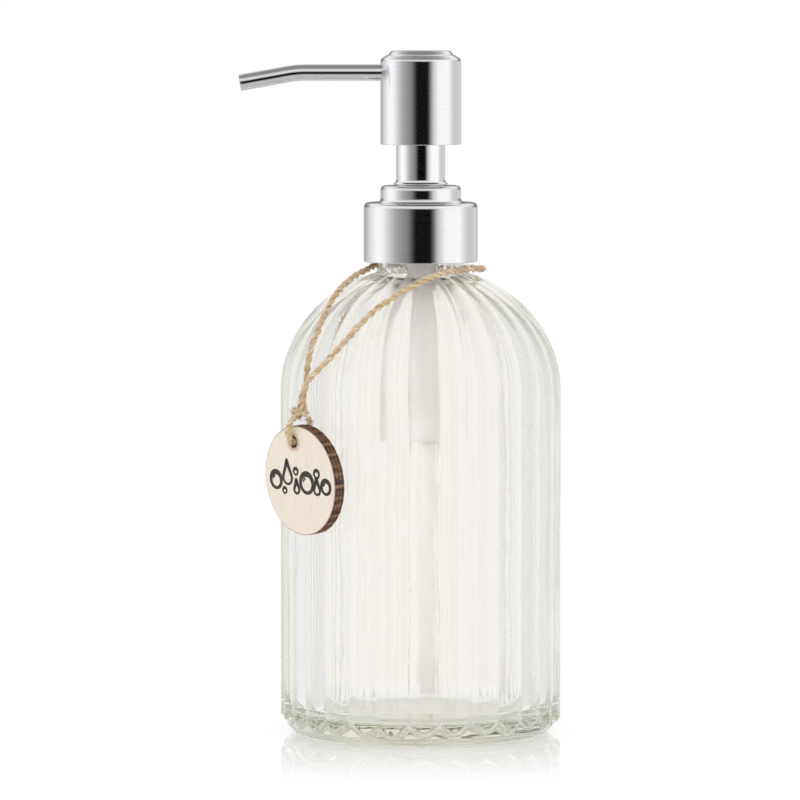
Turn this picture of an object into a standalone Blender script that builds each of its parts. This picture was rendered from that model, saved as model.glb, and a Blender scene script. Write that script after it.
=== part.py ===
"""Soap pump dispenser: a fluted glass bottle with a stainless steel lotion pump, a jute tie and a birch tag.

Lengths are in millimetres in the tables and profiles below, and become metres where a mesh is made. The bottle
stands on z = 0 with its axis on Z. The front is -Y, and the spout points to -X.
"""

import math

import bmesh
import bpy
from mathutils import Matrix, Vector

MM = 0.001
GAP = 0.3  # what touching pieces keep between their faces

# Bottle
BODY_R = 40.0  # over the crests of the flutes
FLUTES = 28
FLUTE_DEPTH = 1.1
FLUTE_PHASE = 8.0  # degrees from the front to the first groove on the right
WALL_TOP = 97.5  # where the dome starts
DOME_RISE = 35.6
GLASS = 3.4  # thickness of the body's wall
FLOOR_Z = 5.4
NECK_R = 12.3
BORE_R = 10.0
RIM_Z = 145.8
THREAD_PITCH = 360.0 / 85.0  # 6 threads per inch, the pitch of a 28 mm closure

# Pump
COLLAR_R = 16.2
STEP_R = 11.45
SHEET = 0.5  # thickness of the drawn steel
COLLAR_Z = 134.3
SHOULDER_Z = 151.1
STEP_TOP = 155.9
TOWER_R = 6.95
TOWER_TOP = 169.5
HEAD_R = 11.45
HEAD_Z = 167.6
HEAD_TOP = 194.15
BARREL_R = 5.2
BARREL_BORE = 4.5
BARREL_Z = 83.0
FLANGE_Z = 147.4
PISTON_Z = 119.3  # underside of the piston's flange with the head up
STEM_TOP = 184.6
SPOUT_Z = 188.0
SPOUT_R = 2.35
SPOUT_BORE = 1.85
SPOUT_CORNER_X = -35.3  # where the spout's two straight runs would cross
SPOUT_DROOP = 10.3  # degrees
SPOUT_TIP_X = -51.4
SPOUT_BEND_R = 30.0

# Tag and twine
TAG_R = 15.5
TAG_THICK = 3.4
TAG_TURN = 49.8  # degrees to the left of the front
TAG_LEAN = 4.5  # degrees, its top away from the glass
TAG_Z = 74.5  # the middle of its back
TAG_SIDE = 0.8  # its middle, to the right of where the glass faces it
HOLE_R = 1.6
HOLE_AT = (-1.9, 10.85)  # from the tag's middle, across and up its face
TWINE_R = 0.9


def clear_scene():
    """Removes what the file held before."""
    for old in list(bpy.data.objects):
        bpy.data.objects.remove(old, do_unlink=True)


def finish_of(name, colour, roughness, metallic=0.0, transmission=0.0):
    """A Principled material with one colour, made once for each name."""
    made = bpy.data.materials.get(name) or bpy.data.materials.new(name)
    made.use_nodes = True
    shader = made.node_tree.nodes["Principled BSDF"]
    shader.inputs["Base Color"].default_value = (*colour, 1.0)
    shader.inputs["Roughness"].default_value = roughness
    shader.inputs["Metallic"].default_value = metallic
    shader.inputs["Transmission Weight"].default_value = transmission
    made.diffuse_color = (*colour, 1.0)
    return made


def clear_glass():
    return finish_of("clear_glass", (0.93, 0.96, 0.95), 0.02, 0.0, 1.0)


def brushed_steel():
    return finish_of("brushed_steel", (0.62, 0.62, 0.63), 0.28, 1.0)


def polished_steel():
    return finish_of("polished_steel", (0.75, 0.75, 0.76), 0.08, 1.0)


def white_plastic():
    return finish_of("white_plastic", (0.86, 0.86, 0.84), 0.45)


def milky_plastic():
    return finish_of("milky_plastic", (0.84, 0.86, 0.87), 0.4, 0.0, 0.5)


def soft_rubber():
    return finish_of("soft_rubber", (0.03, 0.03, 0.03), 0.6)


def birch_ply():
    return finish_of("birch_ply", (0.80, 0.69, 0.53), 0.65)


def jute():
    return finish_of("jute", (0.56, 0.41, 0.26), 0.9)


def place(name, shape, material, sharp_deg=35.0):
    """Puts a bmesh drawn in millimetres into the scene as one named piece, faces out, shaded smooth."""
    bmesh.ops.recalc_face_normals(shape, faces=shape.faces)
    shape.transform(Matrix.Scale(MM, 4))
    mesh = bpy.data.meshes.new(name)
    shape.to_mesh(mesh)
    shape.free()
    piece = bpy.data.objects.new(name, mesh)
    bpy.context.scene.collection.objects.link(piece)
    mesh.materials.append(material)
    mesh.shade_smooth()
    mesh.set_sharp_from_angle(angle=math.radians(sharp_deg))
    return piece


def turned(profile, sides):
    """A turned shape about Z from (radius, height) pairs: a closed loop, or a run from axis to axis."""
    shape = bmesh.new()
    rings = []
    for radius, height in profile:
        if radius == 0:
            rings.append([shape.verts.new((0, 0, height))])
            continue
        angles = [2 * math.pi * k / sides for k in range(sides)]
        rings.append([shape.verts.new((radius * math.cos(a), radius * math.sin(a), height)) for a in angles])
    pairs = list(zip(rings, rings[1:]))
    if profile[0][0] != 0:
        pairs.append((rings[-1], rings[0]))
    for low, high in pairs:
        for k in range(sides):
            nxt = k + 1
            corners = [low[k % len(low)], low[nxt % len(low)], high[nxt % len(high)], high[k % len(high)]]
            shape.faces.new(list(dict.fromkeys(corners)))
    return shape


def rings_to_tube(shape, rings):
    """Joins equal rings of vertices in turn, and closes the first and the last with a face."""
    for low, high in zip(rings, rings[1:]):
        for k in range(len(low)):
            nxt = (k + 1) % len(low)
            shape.faces.new((low[k], low[nxt], high[nxt], high[k]))
    shape.faces.new(rings[0])
    shape.faces.new(rings[-1])


def rod_along_x(start, end, radius, height, sides=24):
    """A plain round rod along X at a height, for cutting."""
    shape = bmesh.new()
    bmesh.ops.create_cone(
        shape, cap_ends=True, segments=sides, radius1=radius, radius2=radius, depth=abs(end - start)
    )
    along_x = Matrix.Rotation(math.pi / 2, 4, "Y")
    shape.transform(Matrix.Translation(((start + end) / 2, 0, height)) @ along_x)
    return shape


def guide(name, shape):
    """A shape that only cuts or joins another: it is not part of the object."""
    piece = place(name, shape, white_plastic())
    piece.hide_render = True
    piece.display_type = "WIRE"
    return piece


def combine(piece, other, operation):
    change = piece.modifiers.new(other.name, "BOOLEAN")
    change.object = other
    change.operation = operation


def thread_ridge(name, root_r, tip_r, first_z, turns, start_deg):
    """The ridge of a screw thread: a tapering section carried up a helix, sunk into its wall at root_r."""
    shape = bmesh.new()
    steps = round(turns * 24)
    rings = []
    for step in range(steps + 1):
        turn = step / 24
        angle = math.radians(start_deg) + 2 * math.pi * turn
        height = first_z + THREAD_PITCH * turn
        grown = min(1.0, 3 * step / steps, 3 * (steps - step) / steps)
        tip = root_r + (tip_r - root_r) * (0.35 + 0.65 * grown)
        section = [(root_r, -0.95), (tip, -0.4), (tip, 0.4), (root_r, 0.95)]
        rings.append(
            [shape.verts.new((r * math.cos(angle), r * math.sin(angle), height + dz)) for r, dz in section]
        )
    rings_to_tube(shape, rings)
    return guide(name, shape)


# ---------------------------------------------------------------- bottle


def dome(theta_deg, radius, rise):
    """A point (radius, height) of the dome's ellipse, and the ellipse's outward normal there."""
    theta = math.radians(theta_deg)
    point = (radius * math.cos(theta), WALL_TOP + rise * math.sin(theta))
    normal = Vector((math.cos(theta) / radius, math.sin(theta) / rise)).normalized()
    return point, normal


def outer_levels():
    """(radius, height, normal, groove depth) up the bottle's outside, at the crests of the flutes."""
    out = Vector((1, 0))
    levels = [
        (BODY_R - 4.6, 0.0, out, 0.0),
        (BODY_R - 3.1, 0.5, out, 0.0),
        (BODY_R - 2.4, 1.6, out, 0.0),
        (BODY_R - 1.4, 3.7, out, 0.0),
        (BODY_R - 0.6, 4.9, out, 0.55 * FLUTE_DEPTH),
        (BODY_R - 0.1, 6.6, out, 0.95 * FLUTE_DEPTH),
        (BODY_R, 9.0, out, FLUTE_DEPTH),
        (BODY_R, 53.0, out, FLUTE_DEPTH),
        (BODY_R, WALL_TOP, out, FLUTE_DEPTH),
    ]
    for theta in (13, 26, 39, 51, 62, 71.6):
        (radius, height), normal = dome(theta, BODY_R, DOME_RISE)
        levels.append((radius, height, normal, FLUTE_DEPTH * math.cos(math.radians(theta)) ** 0.8))
    levels.append((NECK_R, 132.6, out, 0.0))
    levels.append((NECK_R, RIM_Z - 0.5, out, 0.0))
    levels.append((NECK_R - 0.5, RIM_Z, out, 0.0))
    return levels


def inner_profile():
    """(radius, height) down the bottle's inside, from the rim to the floor."""
    inside = BODY_R - GLASS
    profile = [(BORE_R + 0.3, RIM_Z), (BORE_R, RIM_Z - 0.4), (BORE_R, 130.0)]
    profile += [dome(theta, inside, DOME_RISE - 3.0)[0] for theta in (71, 60, 47, 33, 17, 0)]
    profile += [(inside, 10.8), (inside - 0.7, 8.2), (inside - 2.6, 6.3), (inside - 6.0, FLOOR_Z)]
    return profile


def glass_bottle():
    """One blown and pressed piece of glass: fluted outside, smooth inside, with a thick floor."""
    shape = bmesh.new()
    per_flute = 4
    around = FLUTES * per_flute
    outside = []
    for radius, height, normal, depth in outer_levels():
        ring = []
        for k in range(around):
            across = 2 * (k % per_flute) / per_flute - 1  # -1 at a groove, 0 at a crest
            angle = math.radians(FLUTE_PHASE - 90) + 2 * math.pi * k / around
            sunk = depth * across * across
            r = radius - sunk * normal.x
            ring.append(shape.verts.new((r * math.cos(angle), r * math.sin(angle), height - sunk * normal.y)))
        outside.append(ring)
    shape.faces.new(outside[0])
    for low, high in zip(outside, outside[1:]):
        for k in range(around):
            nxt = (k + 1) % around
            shape.faces.new((low[k], low[nxt], high[nxt], high[k]))
    coarse = around // 2
    inside = []
    for radius, height in inner_profile():
        angles = [math.radians(FLUTE_PHASE - 90) + 2 * math.pi * k / coarse for k in range(coarse)]
        inside.append([shape.verts.new((radius * math.cos(a), radius * math.sin(a), height)) for a in angles])
    rim = outside[-1]
    for k in range(coarse):
        nxt = (k + 1) % coarse
        shape.faces.new((rim[2 * k], rim[2 * k + 1], inside[0][k]))
        shape.faces.new((rim[2 * k + 1], rim[(2 * k + 2) % around], inside[0][nxt], inside[0][k]))
    for high, low in zip(inside, inside[1:]):
        for k in range(coarse):
            nxt = (k + 1) % coarse
            shape.faces.new((high[k], high[nxt], low[nxt], low[k]))
    shape.faces.new(inside[-1])
    bottle = place("glass_bottle", shape, clear_glass())
    combine(bottle, thread_ridge("neck_thread", NECK_R - 0.7, NECK_R + 1.3, 138.0, 1.25, 0), "UNION")


# ---------------------------------------------------------------- collar


def collar():
    """The steel collar with its upper step, and the plastic closure that is pressed into it."""
    inside = COLLAR_R - SHEET
    shell = [
        (COLLAR_R, COLLAR_Z), (COLLAR_R, SHOULDER_Z - 1.2), (COLLAR_R - 0.3, SHOULDER_Z - 0.35),
        (COLLAR_R - 1.0, SHOULDER_Z), (STEP_R + 0.9, SHOULDER_Z), (STEP_R + 0.2, SHOULDER_Z + 0.4),
        (STEP_R, SHOULDER_Z + 1.2), (STEP_R, STEP_TOP - 1.0), (STEP_R - 0.3, STEP_TOP - 0.3),
        (STEP_R - 1.0, STEP_TOP), (TOWER_R + 0.35, STEP_TOP), (TOWER_R + 0.35, STEP_TOP - SHEET),
        (STEP_R - 1.0, STEP_TOP - SHEET), (STEP_R - SHEET, STEP_TOP - 1.0),
        (STEP_R - SHEET, SHOULDER_Z - SHEET), (inside - 0.5, SHOULDER_Z - SHEET), (inside, SHOULDER_Z - 1.1),
        (inside, COLLAR_Z),
    ]
    place("collar_shell", turned(shell, 36), brushed_steel())

    outer = inside - GAP
    thread_r = NECK_R + 1.7
    web = FLANGE_Z + 1.2 + 0.35  # clamps the pump's flange
    closure = [
        (outer, COLLAR_Z + 0.4), (outer, SHOULDER_Z - 1.1), (outer - 0.4, SHOULDER_Z - 0.8),
        (STEP_R - 0.8, SHOULDER_Z - 0.8), (STEP_R - 0.8, STEP_TOP - 1.1), (8.55, STEP_TOP - 1.1),
        (8.55, web), (thread_r, web), (thread_r, COLLAR_Z + 1.0), (thread_r + 0.4, COLLAR_Z + 0.4),
    ]
    closure_piece = place("threaded_closure", turned(closure, 28), white_plastic())
    ridge = thread_ridge("closure_thread", thread_r + 0.6, NECK_R + 0.5, 138.0, 1.25, 180)
    combine(closure_piece, ridge, "UNION")


# ---------------------------------------------------------------- pump body


def pump_body():
    """What the collar clamps to the neck: gasket, barrel, guide, tower, inlet cage and dip tube."""
    place(
        "neck_gasket",
        turned([(8.8, RIM_Z + GAP), (12.2, RIM_Z + GAP), (12.2, RIM_Z + 1.3), (8.8, RIM_Z + 1.3)], 36),
        white_plastic(),
    )
    seat = BARREL_Z + 5.8
    barrel = [
        (2.9, BARREL_Z), (BARREL_R - 0.4, BARREL_Z), (BARREL_R, BARREL_Z + 0.5), (BARREL_R, 135.0),
        (8.4, 137.5), (8.4, FLANGE_Z), (12.3, FLANGE_Z), (12.3, FLANGE_Z + 1.2), (6.6, FLANGE_Z + 1.2),
        (6.6, 138.0), (BARREL_BORE, 136.4), (BARREL_BORE, seat + 2.2), (1.2, seat), (1.2, seat - 1.4),
        (2.9, seat - 1.4),
    ]
    place("pump_housing", turned(barrel, 28), milky_plastic())
    core = TOWER_R - SHEET - GAP
    guide_z = FLANGE_Z + 1.2 + GAP
    guide_profile = [
        (3.9, 138.2), (core, 138.2), (core, guide_z), (8.2, guide_z), (8.2, guide_z + 1.3),
        (core, guide_z + 1.3), (core, TOWER_TOP - 0.7), (3.9, TOWER_TOP - 0.7),
    ]
    place("guide_core", turned(guide_profile, 28), white_plastic())
    foot = STEP_TOP + 0.35
    sleeve = [
        (TOWER_R - SHEET, guide_z + 1.6), (TOWER_R, guide_z + 1.6), (TOWER_R, foot), (TOWER_R + 0.8, foot),
        (TOWER_R + 0.8, foot + 0.35), (TOWER_R + 0.15, foot + 1.1), (TOWER_R, foot + 2.0),
        (TOWER_R, TOWER_TOP - 0.3), (TOWER_R - 0.2, TOWER_TOP), (TOWER_R - SHEET, TOWER_TOP),
    ]
    place("tower_sleeve", turned(sleeve, 32), polished_steel())
    cage = seat + 4.8
    cage_r = BARREL_BORE - GAP
    cage_profile = [(1.1, cage), (cage_r, cage), (cage_r, cage + 1.2), (1.1, cage + 1.2)]
    place("valve_cage", turned(cage_profile, 28), white_plastic())
    place("dip_tube", turned([(1.9, 10.5), (2.6, 10.5), (2.6, 87.1), (1.9, 87.1)], 20), milky_plastic())


def ball(name, radius, height, material):
    shape = bmesh.new()
    bmesh.ops.create_icosphere(shape, subdivisions=2, radius=radius)
    shape.transform(Matrix.Translation((0, 0, height)))
    place(name, shape, material, 60.0)


# ---------------------------------------------------------------- plunger


def plunger():
    """What moves up and down in the barrel: the hollow stem, its seal and the spring under them."""
    stem = [
        (0.8, PISTON_Z), (BARREL_BORE - 0.6, PISTON_Z), (BARREL_BORE - 0.6, PISTON_Z + 1.2),
        (2.6, PISTON_Z + 1.2), (2.6, 134.0), (3.4, 134.8), (3.4, STEM_TOP), (1.5, STEM_TOP),
        (1.5, PISTON_Z + 2.6), (0.8, PISTON_Z + 1.9),
    ]
    place("piston_stem", turned(stem, 24), white_plastic())
    low = PISTON_Z + 1.5
    lip = BARREL_BORE - GAP
    seal = [
        (2.9, low), (lip, low), (lip, low + 5.2), (lip - 0.35, low + 5.2), (lip - 0.6, low + 3.2),
        (2.9, low + 3.2),
    ]
    place("piston_seal", turned(seal, 28), milky_plastic())
    spring(95.5, PISTON_Z - 0.7)


def spring(low, high):
    """A round wire wound on a helix, its first and last turns closer together than the others."""
    wire_r, coil_r, turns, steps = 0.4, 3.2, 8.5, 10
    shape = bmesh.new()
    rings = []
    count = round(turns * steps)
    for step in range(count + 1):
        share = step / count
        eased = share - math.sin(4 * math.pi * share) * 0.02 - math.sin(2 * math.pi * share) * 0.05
        angle = 2 * math.pi * turns * share
        radial = Vector((math.cos(angle), math.sin(angle), 0))
        middle = radial * coil_r + Vector((0, 0, low + (high - low) * eased))
        ring = []
        for side in range(5):
            turn = 2 * math.pi * side / 5
            offset = radial * wire_r * math.cos(turn) + Vector((0, 0, wire_r * math.sin(turn)))
            ring.append(shape.verts.new(middle + offset))
        rings.append(ring)
    rings_to_tube(shape, rings)
    place("return_spring", shape, polished_steel(), 80.0)


# ---------------------------------------------------------------- head


def head():
    """The steel head that is pressed, its plastic core, and the spout with its seal."""
    hole = SPOUT_R + GAP
    inside = HEAD_R - SHEET
    rim_r = 9.55
    shell = [
        (HEAD_R, HEAD_Z), (HEAD_R, HEAD_TOP - 2.9), (HEAD_R - 0.15, HEAD_TOP - 2.3), (rim_r, HEAD_TOP - 1.15),
        (rim_r, HEAD_TOP - 1.75), (inside, HEAD_TOP - 2.75), (inside, HEAD_Z),
    ]
    shell_piece = place("head_shell", turned(shell, 40), brushed_steel())
    combine(shell_piece, guide("spout_hole", rod_along_x(-13, -9, hole, SPOUT_Z)), "DIFFERENCE")
    cap_r = rim_r - GAP
    cap = [
        (0, HEAD_TOP - 2.45), (cap_r, HEAD_TOP - 2.45), (cap_r, HEAD_TOP - 1.05), (cap_r - 1.0, HEAD_TOP),
        (0, HEAD_TOP),
    ]
    place("head_cap", turned(cap, 40), brushed_steel())

    core_r = inside - 0.35
    core = [
        (0, SPOUT_Z + 0.6), (1.6, SPOUT_Z + 0.6), (1.6, STEM_TOP + 0.4), (3.75, STEM_TOP + 0.4), (3.75, 181.2),
        (core_r, 181.2), (core_r, HEAD_TOP - 3.95), (core_r - 1.4, HEAD_TOP - 2.75), (0, HEAD_TOP - 2.75),
    ]
    core_piece = place("head_core", turned(core, 32), white_plastic())
    combine(core_piece, guide("spout_socket", rod_along_x(-12, -3.9, hole, SPOUT_Z)), "DIFFERENCE")
    combine(core_piece, guide("spout_channel", rod_along_x(-4.4, -0.5, 1.3, SPOUT_Z, 12)), "DIFFERENCE")
    combine(core_piece, guide("seal_seat", rod_along_x(-12, -8.6, 3.8, SPOUT_Z)), "DIFFERENCE")

    ring = turned([(hole, -0.6), (3.5, -0.6), (3.5, 0.6), (hole, 0.6)], 24)
    ring.transform(Matrix.Translation((-9.6, 0, SPOUT_Z)) @ Matrix.Rotation(math.pi / 2, 4, "Y"))
    place("spout_seal", ring, soft_rubber())
    place("spout_tube", spout_shape(-4.3), polished_steel())


def spout_centres(start_x):
    """(point, direction) along the spout: a straight run, a bend of one radius, a shorter straight run."""
    droop = math.radians(SPOUT_DROOP)
    tangent = SPOUT_BEND_R * math.tan(droop / 2)
    begin = Vector((SPOUT_CORNER_X + tangent, 0, SPOUT_Z))
    centres = [(Vector((start_x, 0, SPOUT_Z)), Vector((-1, 0, 0)))]
    for step in range(6):
        turned_by = droop * step / 5
        across = SPOUT_BEND_R * Vector((-math.sin(turned_by), 0, math.cos(turned_by) - 1))
        centres.append((begin + across, Vector((-math.cos(turned_by), 0, -math.sin(turned_by)))))
    last, along = centres[-1]
    centres.append((last + along * ((last.x - SPOUT_TIP_X) / -along.x), along))
    return centres


def spout_shape(start_x, sides=16):
    """The spout's wall: an outer and an inner skin, joined by a ring at each end."""
    shape = bmesh.new()
    skins = {SPOUT_R: [], SPOUT_BORE: []}
    for point, along in spout_centres(start_x):
        up = along.cross(Vector((0, 1, 0))).normalized()
        for radius, rings in skins.items():
            angles = [2 * math.pi * k / sides for k in range(sides)]
            spokes = [math.cos(a) * Vector((0, 1, 0)) + math.sin(a) * up for a in angles]
            rings.append([shape.verts.new(point + radius * spoke) for spoke in spokes])
    outer, inner = skins.values()
    strips = [*zip(outer, outer[1:]), *zip(inner, inner[1:]), (outer[0], inner[0]), (outer[-1], inner[-1])]
    for one, other in strips:
        for k in range(sides):
            nxt = (k + 1) % sides
            shape.faces.new((one[k], one[nxt], other[nxt], other[k]))
    return shape


# ---------------------------------------------------------------- tag and twine


def tag_axes():
    """Across, up and out of the tag's face, and the level direction in which it faces away."""
    turn, lean = math.radians(TAG_TURN), math.radians(TAG_LEAN)
    away = Vector((-math.sin(turn), -math.cos(turn), 0))
    across = Vector((math.cos(turn), -math.sin(turn), 0))
    up = away * math.sin(lean) + Vector((0, 0, math.cos(lean)))
    out = away * math.cos(lean) - Vector((0, 0, math.sin(lean)))
    return across, up, out, away


def wooden_tag():
    """A laser-cut plywood disc that hangs against the glass, with its hole near the top."""
    across, up, out, away = tag_axes()
    lean = math.radians(TAG_LEAN)
    back = BODY_R + 0.4 + TAG_R * math.sin(lean)  # its bottom edge is 0.4 mm off the glass
    middle = away * back + across * TAG_SIDE + Vector((0, 0, TAG_Z)) + out * TAG_THICK / 2
    pose = Matrix.Translation(middle) @ Matrix((across, up, out)).transposed().to_4x4()
    disc = bmesh.new()
    bmesh.ops.create_cone(disc, cap_ends=True, segments=48, radius1=TAG_R, radius2=TAG_R, depth=TAG_THICK)
    disc.transform(pose)
    piece = place("wooden_tag", disc, birch_ply())
    drill = bmesh.new()
    bmesh.ops.create_cone(
        drill, cap_ends=True, segments=16, radius1=HOLE_R, radius2=HOLE_R, depth=3 * TAG_THICK)
    drill.transform(pose @ Matrix.Translation((*HOLE_AT, 0)))
    combine(piece, guide("tag_drill", drill), "DIFFERENCE")


def from_tag(points):
    """Points given as (distance from the axis towards the tag, across, height) as places in the row."""
    across, _, _, away = tag_axes()
    return [away * out + across * side + Vector((0, 0, height)) for out, side, height in points]


def smooth_route(points, spacing):
    """Evenly spaced points on the smooth curve (Catmull-Rom) through a route's own points."""
    ends = [2 * points[0] - points[1], *points, 2 * points[-1] - points[-2]]
    fine = []
    for a, b, c, d in zip(ends, ends[1:], ends[2:], ends[3:]):
        for step in range(20):
            t = step / 20
            fine.append(
                0.5 * (2 * b + (c - a) * t + (2 * a - 5 * b + 4 * c - d) * t * t + (3 * b - a - 3 * c + d) * t**3)
            )
    fine.append(points[-1])
    lengths = [0.0]
    for one, other in zip(fine, fine[1:]):
        lengths.append(lengths[-1] + (other - one).length)
    count = round(lengths[-1] / spacing)
    route, at = [], 0
    for step in range(count + 1):
        wanted = lengths[-1] * step / count
        while at < len(fine) - 2 and lengths[at + 1] < wanted:
            at += 1
        share = (wanted - lengths[at]) / max(lengths[at + 1] - lengths[at], 1e-9)
        route.append(fine[at].lerp(fine[at + 1], min(share, 1.0)))
    return route


def twine(name, route):
    """A plain round tube along a route, with filled ends."""
    curve = bpy.data.curves.new(name, "CURVE")
    curve.dimensions = "3D"
    curve.bevel_depth = TWINE_R * MM
    curve.bevel_resolution = 2
    curve.use_fill_caps = True
    curve.materials.append(jute())
    spline = curve.splines.new("POLY")
    spline.points.add(len(route) - 1)
    for point, where in zip(spline.points, route):
        point.co = (*(where * MM), 1.0)
    bpy.context.scene.collection.objects.link(bpy.data.objects.new(name, curve))


def tie():
    """The jute tie: a loose loop round the neck, the knot over the tag, the bight through its hole."""
    neck_loop = [
        Vector(p)
        for p in (
            (-32.8, -25.6, 95.6), (-33.0, -25.3, 97.6), (-32.2, -25.8, 101.0), (-31.8, -25.0, 105.9),
            (-30.9, -23.2, 110.8), (-29.3, -21.5, 115.0), (-27.2, -18.4, 120.0), (-24.4, -13.4, 124.9),
            (-21.4, -8.2, 128.3), (-18.2, -3.8, 130.6), (-15.2, 0.2, 132.0), (-13.0, 4.6, 132.8),
            (-10.2, 9.6, 132.6), (-5.2, 13.9, 132.1), (1.5, 15.9, 131.8), (8.5, 14.4, 131.8),
            (14.2, 10.0, 131.9), (17.3, 4.2, 132.0), (17.4, -1.5, 132.3), (14.8, -6.6, 132.4),
            (10.4, -11.0, 132.2), (6.1, -15.4, 131.5), (1.8, -19.3, 130.2), (-2.2, -22.6, 128.4),
            (-5.4, -24.7, 126.8), (-8.9, -26.8, 124.6), (-12.9, -28.4, 121.9), (-17.1, -30.0, 118.0),
            (-20.7, -30.8, 114.0), (-24.9, -30.4, 109.3), (-29.6, -29.2, 104.4), (-32.4, -28.3, 101.0),
            (-33.3, -28.3, 97.6), (-33.7, -28.1, 95.6),
        )
    ]
    twine("twine_loop", smooth_route(neck_loop, 4.2))
    bight = [
        (47.0, -0.3, 91.3), (47.8, -0.5, 89.6), (47.9, -0.8, 88.0), (47.3, -1.0, 86.3), (46.2, -1.1, 85.2),
        (44.5, -1.1, 85.0), (42.9, -1.1, 85.3), (41.8, -0.9, 86.2), (41.35, -0.4, 87.7), (41.4, 0.4, 89.2),
        (41.6, 1.2, 90.5),
    ]
    twine("twine_tag_loop", smooth_route(from_tag(bight), 1.6))
    knot = bmesh.new()
    bmesh.ops.create_icosphere(knot, subdivisions=3, radius=1.0)
    across, _, _, away = tag_axes()
    stretch = Matrix((across * 3.1, Vector((0, 0, 2.1)), away * 2.4)).transposed().to_4x4()
    knot.transform(Matrix.Translation(from_tag([(43.3, -1.3, 92.9)])[0]) @ stretch)
    place("twine_knot", knot, jute(), 80.0)


clear_scene()
glass_bottle()
collar()
pump_body()
ball("inlet_ball", 1.6, BARREL_Z + 7.25, clear_glass())
plunger()
ball("outlet_ball", 1.2, PISTON_Z + 3.1, polished_steel())
head()
wooden_tag()
tie()
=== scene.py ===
"""The looks of a fluted glass soap pump dispenser with a steel pump, a jute tie and a plywood tag.

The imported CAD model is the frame, and every piece here lies in its coordinates. Shapes are worked out in
millimetres, as the sizes marked mm are, and become metres where a mesh is made. Material and lighting values
are in metres. The sections follow the dispenser as it is put together.
"""

import bpy
import math
import numpy as np
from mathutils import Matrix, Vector


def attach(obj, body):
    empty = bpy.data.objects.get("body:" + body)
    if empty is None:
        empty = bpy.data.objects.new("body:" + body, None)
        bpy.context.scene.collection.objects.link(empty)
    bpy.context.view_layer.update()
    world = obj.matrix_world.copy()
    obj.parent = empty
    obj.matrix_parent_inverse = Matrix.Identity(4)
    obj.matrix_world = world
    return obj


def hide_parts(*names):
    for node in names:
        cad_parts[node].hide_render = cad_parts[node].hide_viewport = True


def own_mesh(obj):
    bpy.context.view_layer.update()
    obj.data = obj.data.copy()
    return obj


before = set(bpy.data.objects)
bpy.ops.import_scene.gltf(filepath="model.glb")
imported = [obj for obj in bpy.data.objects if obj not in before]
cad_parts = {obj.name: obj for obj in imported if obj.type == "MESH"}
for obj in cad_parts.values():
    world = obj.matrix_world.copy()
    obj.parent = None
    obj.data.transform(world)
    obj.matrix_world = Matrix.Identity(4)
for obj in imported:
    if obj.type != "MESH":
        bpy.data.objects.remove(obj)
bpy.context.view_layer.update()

# ---------------------------------------------------------------- the glass bottle
# Soda-lime glass, blown into a fluted mould: 28 convex flutes outside, smooth and a little wavy inside, with
# a heavy base. The flutes end in rounded tongues above the heel and run together as pleats at the neck.


def colour(code):
    """A linear RGBA colour from an sRGB hex code."""
    parts = [int(code[k : k + 2], 16) / 255 for k in (1, 3, 5)]
    return (*[p / 12.92 if p <= 0.04045 else ((p + 0.055) / 1.055) ** 2.4 for p in parts], 1.0)


def add(tree, kind, sockets=None, **settings):
    """Adds one node with its settings. A socket gets a value, or a link where the value is another socket."""
    node = tree.nodes.new(kind)
    for key, value in settings.items():
        setattr(node, key, value)
    for key, value in (sockets or {}).items():
        if isinstance(value, bpy.types.NodeSocket):
            tree.links.new(value, node.inputs[key])
        else:
            node.inputs[key].default_value = value
    return node


def stops(ramp, *places, smooth=False):
    """Gives a colour ramp its stops, as (position, colour or grey), and returns its colour socket."""
    points = ramp.color_ramp.elements
    while len(points) < len(places):
        points.new(0.5)
    for point, (where, tone) in zip(points, places):
        point.position = where
        point.color = tone if isinstance(tone, tuple) else (tone, tone, tone, 1.0)
    ramp.color_ramp.interpolation = "EASE" if smooth else "LINEAR"
    return ramp.outputs["Color"]


def finish(name, **sockets):
    """A new material: its Principled shader, with sockets set by name, and its node tree."""
    made = bpy.data.materials.new(name)
    made.use_nodes = True
    tree = made.node_tree
    shader = tree.nodes["Principled BSDF"]
    for key, value in sockets.items():
        shader.inputs[key.replace("_", " ")].default_value = value
    return made, tree, shader


def skin(name, rows, material, around=True, along=False, poles=(None, None)):
    """One mesh from a grid of points (rows, columns, 3). Around and along say which way the grid closes on
    itself, and poles are single points that close its first and last row. Returns the object."""
    rows = np.asarray(rows, float)
    count, wide = rows.shape[:2]
    index = np.arange(count * wide).reshape(count, wide)
    low, high = (index, np.roll(index, -1, 0)) if along else (index[:-1], index[1:])
    if around:
        quads = np.stack([low, np.roll(low, -1, 1), np.roll(high, -1, 1), high], -1)
    else:
        quads = np.stack([low[:, :-1], low[:, 1:], high[:, 1:], high[:, :-1]], -1)
    points = [rows.reshape(-1, 3)]
    faces = quads.reshape(-1, 4).tolist()
    total = count * wide
    for pole, ring in ((poles[0], index[0][::-1]), (poles[1], index[-1])):
        if pole is not None:
            points.append(np.array([pole], float))
            faces += np.stack([ring, np.roll(ring, -1), np.full(wide, total)], -1).tolist()
            total += 1
    mesh = bpy.data.meshes.new(name)
    mesh.from_pydata(np.concatenate(points).tolist(), [], faces)
    mesh.polygons.foreach_set("use_smooth", np.ones(len(mesh.polygons), bool))
    mesh.materials.append(material)
    mesh.update()
    piece = bpy.data.objects.new(name, mesh)
    bpy.context.scene.collection.objects.link(piece)
    return piece


def eased(x):
    """0 below 0, 1 above 1, and a smooth S between."""
    x = np.clip(x, 0, 1)
    return x * x * (3 - 2 * x)


glass, tree, shader = finish(
    "soda_lime_glass", Base_Color=colour("#FFFFFF"), Roughness=0.0, IOR=1.5, Transmission_Weight=1.0
)
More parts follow.
